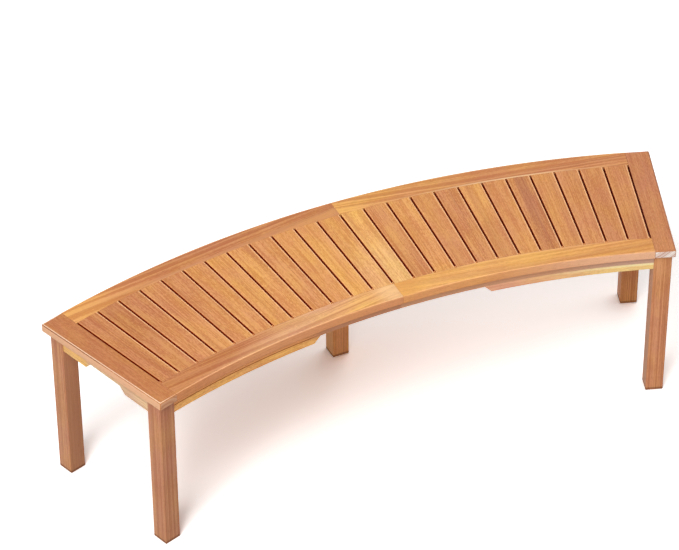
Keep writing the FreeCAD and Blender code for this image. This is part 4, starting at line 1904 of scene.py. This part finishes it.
# Painted shade on the outer rails' rims, which face away from the light
OUTER_RIM_PAINTED_SHADE = (150, 88, 56)
RAIL_FINISHES = {
    "left_outer_rail": RailFinish(
        OiledWood(
            Tone.HONEY, Tone.RUSSET, seed=201, drift_middle=0.22, drift_width=0.35, contrast=1.2, ring=0.009,
            figuring=3.0, mottling=1.2, reach=6.0,
        ),
        OUTER_RIM_PAINTED_SHADE, OUTER_RIM_PAINTED_SHADE, side_wear_and_highlight=0.05,
    ),
    "right_outer_rail": RailFinish(
        OiledWood(
            Tone.GOLD, Tone.COPPER, seed=202, drift_middle=0.32, drift_width=0.55, contrast=1.2, ring=0.009,
            figuring=3.0, mottling=1.2, reach=6.0, edge_wear_and_painted_light=(255, 216, 166),
        ),
        OUTER_RIM_PAINTED_SHADE, OUTER_RIM_PAINTED_SHADE, side_wear_and_highlight=1.0,
    ),
    "left_inner_rail": RailFinish(
        OiledWood(
            Tone.SIENNA, Tone.WHEAT, seed=203, halfway=Tone.BISQUE, drift_middle=0.6, drift_width=0.7,
            drift_slant=5.0, contrast=1.2, ring=0.007, figuring=3.0, mottling=1.2, reach=6.0,
        ),
        (220, 146, 98), (220, 150, 106), side_wear_and_highlight=0.05, joint_tint=(250, 204, 152),
    ),
    "right_inner_rail": RailFinish(
        OiledWood(
            Tone.SUN, Tone.HONEY, seed=204, drift_middle=0.64, drift_width=0.7, contrast=0.8, ring=0.009,
            figuring=2.0, mottling=1.2, reach=4.0,
        ),
        (218, 146, 100), (248, 202, 170), side_wear_and_highlight=0.1, joint_tint=(228, 162, 92),
    ),
}

# The left board's edge colour is rubbing with a painted highlight, the right board's is painted shade
END_BOARD_FINISHES = {
    Half.LEFT: OiledWood(
        Tone.SIENNA, Tone.SIENNA, seed=211, dark_streaks=0.1, contrast=0.5, pale_end=(214, 166, 132),
        edge_wear_and_painted_light=(255, 222, 190),
    ),
    Half.RIGHT: OiledWood(
        Tone.ROSE, Tone.ROSE, seed=212, dark_streaks=0.1, contrast=0.5, ring=0.0065, pith=(0.07, 0.08),
        pale_end=(255, 250, 244), end_ring=(200, 150, 132), edge_wear_and_painted_light=(168, 108, 78),
    ),
}

LEG_TONES = {
    "left_inner_leg": Tone.UMBER,
    "left_outer_leg": Tone.UMBER,
    "right_inner_leg": Tone.TAWNY,
    "right_outer_leg": Tone.COPPER,
    "middle_leg": Tone.APRICOT,
}
LEG_SEED = 221
LEG_FINISHES = {
    node: OiledWood(tone, tone, LEG_SEED + number, contrast=1.3, reach=6.0, mottling=0.6)
    for number, (node, tone) in enumerate(LEG_TONES.items())
}
# Painted shade on the right inner leg's left face and the left outer leg's front face, and painted light on
# the middle leg's left face
LEG_FACE_PAINTED_LIGHT = {
    ("right_inner_leg", LegFace.LEFT): (192, 153, 130),
    ("middle_leg", LegFace.LEFT): (255, 194, 138),
    ("left_outer_leg", LegFace.FRONT): (182, 129, 98),
}

APRON_FINISHES = {
    "left_inner_apron": OiledWood(Tone.SAFFRON, Tone.SAFFRON, seed=231),
    "right_inner_apron": OiledWood(
        Tone.FAWN, Tone.CREAM, seed=232, drift_middle=0.72, drift_width=0.4, mottling=0.6, reach=4.0,
        deep_grain=(196, 118, 78),
    ),
    "left_outer_apron": OiledWood(Tone.AMBER, Tone.COPPER, seed=233),
    "right_outer_apron": OiledWood(Tone.COPPER, Tone.AMBER, seed=234),
    "left_end_apron": OiledWood(
        Tone.PEACH, Tone.BUFF, seed=235, drift_middle=0.655, drift_width=0.06, mottling=1.0
    ),
    "right_end_apron": OiledWood(Tone.AMBER, Tone.AMBER, seed=236),
}

# Painted shade on the inner aprons' strip close under the seat, where the rim's shadow falls, with a painted
# shade line along the left brackets' upper edges and a pale line along the right ones'
STRIP_TOP = 0.040
APRON_PAINTED_SHADE_AND_LINES = {
    "left_inner_apron": [
        Band((246, 172, 114), 0.002, STRIP_TOP),
        Band((198, 142, 112), -0.002, STRIP_TOP, (0.56, 0.70)),
        Band((172, 92, 38), 0.0015, 0.0042, (0.68, 0.60)),
    ],
    "right_inner_apron": [
        Band((208, 156, 122), 0.001, STRIP_TOP),
        Band((206, 166, 146), 0.001, STRIP_TOP, (0.55, 0.95)),
        Band((255, 238, 182), -0.005, 0.001, (0.45, 1.0)),
    ],
}


def main() -> None:
    """Build the bench's pieces in order and set the stage."""
    logging.basicConfig(level=logging.INFO, format="%(name)s: %(message)s")
    plan = Plan()
    Slats(plan).build(SLAT_FINISHES)
    Rails(plan).build(RAIL_FINISHES)
    EndBoards(plan).build(END_BOARD_FINISHES)
    Legs(plan).build(LEG_FINISHES, LEG_FACE_PAINTED_LIGHT)
    Aprons(plan).build(APRON_FINISHES, APRON_PAINTED_SHADE_AND_LINES)
    HiddenFrame(plan).dress()
    Studio().build()


if __name__ == "__main__":
    main()
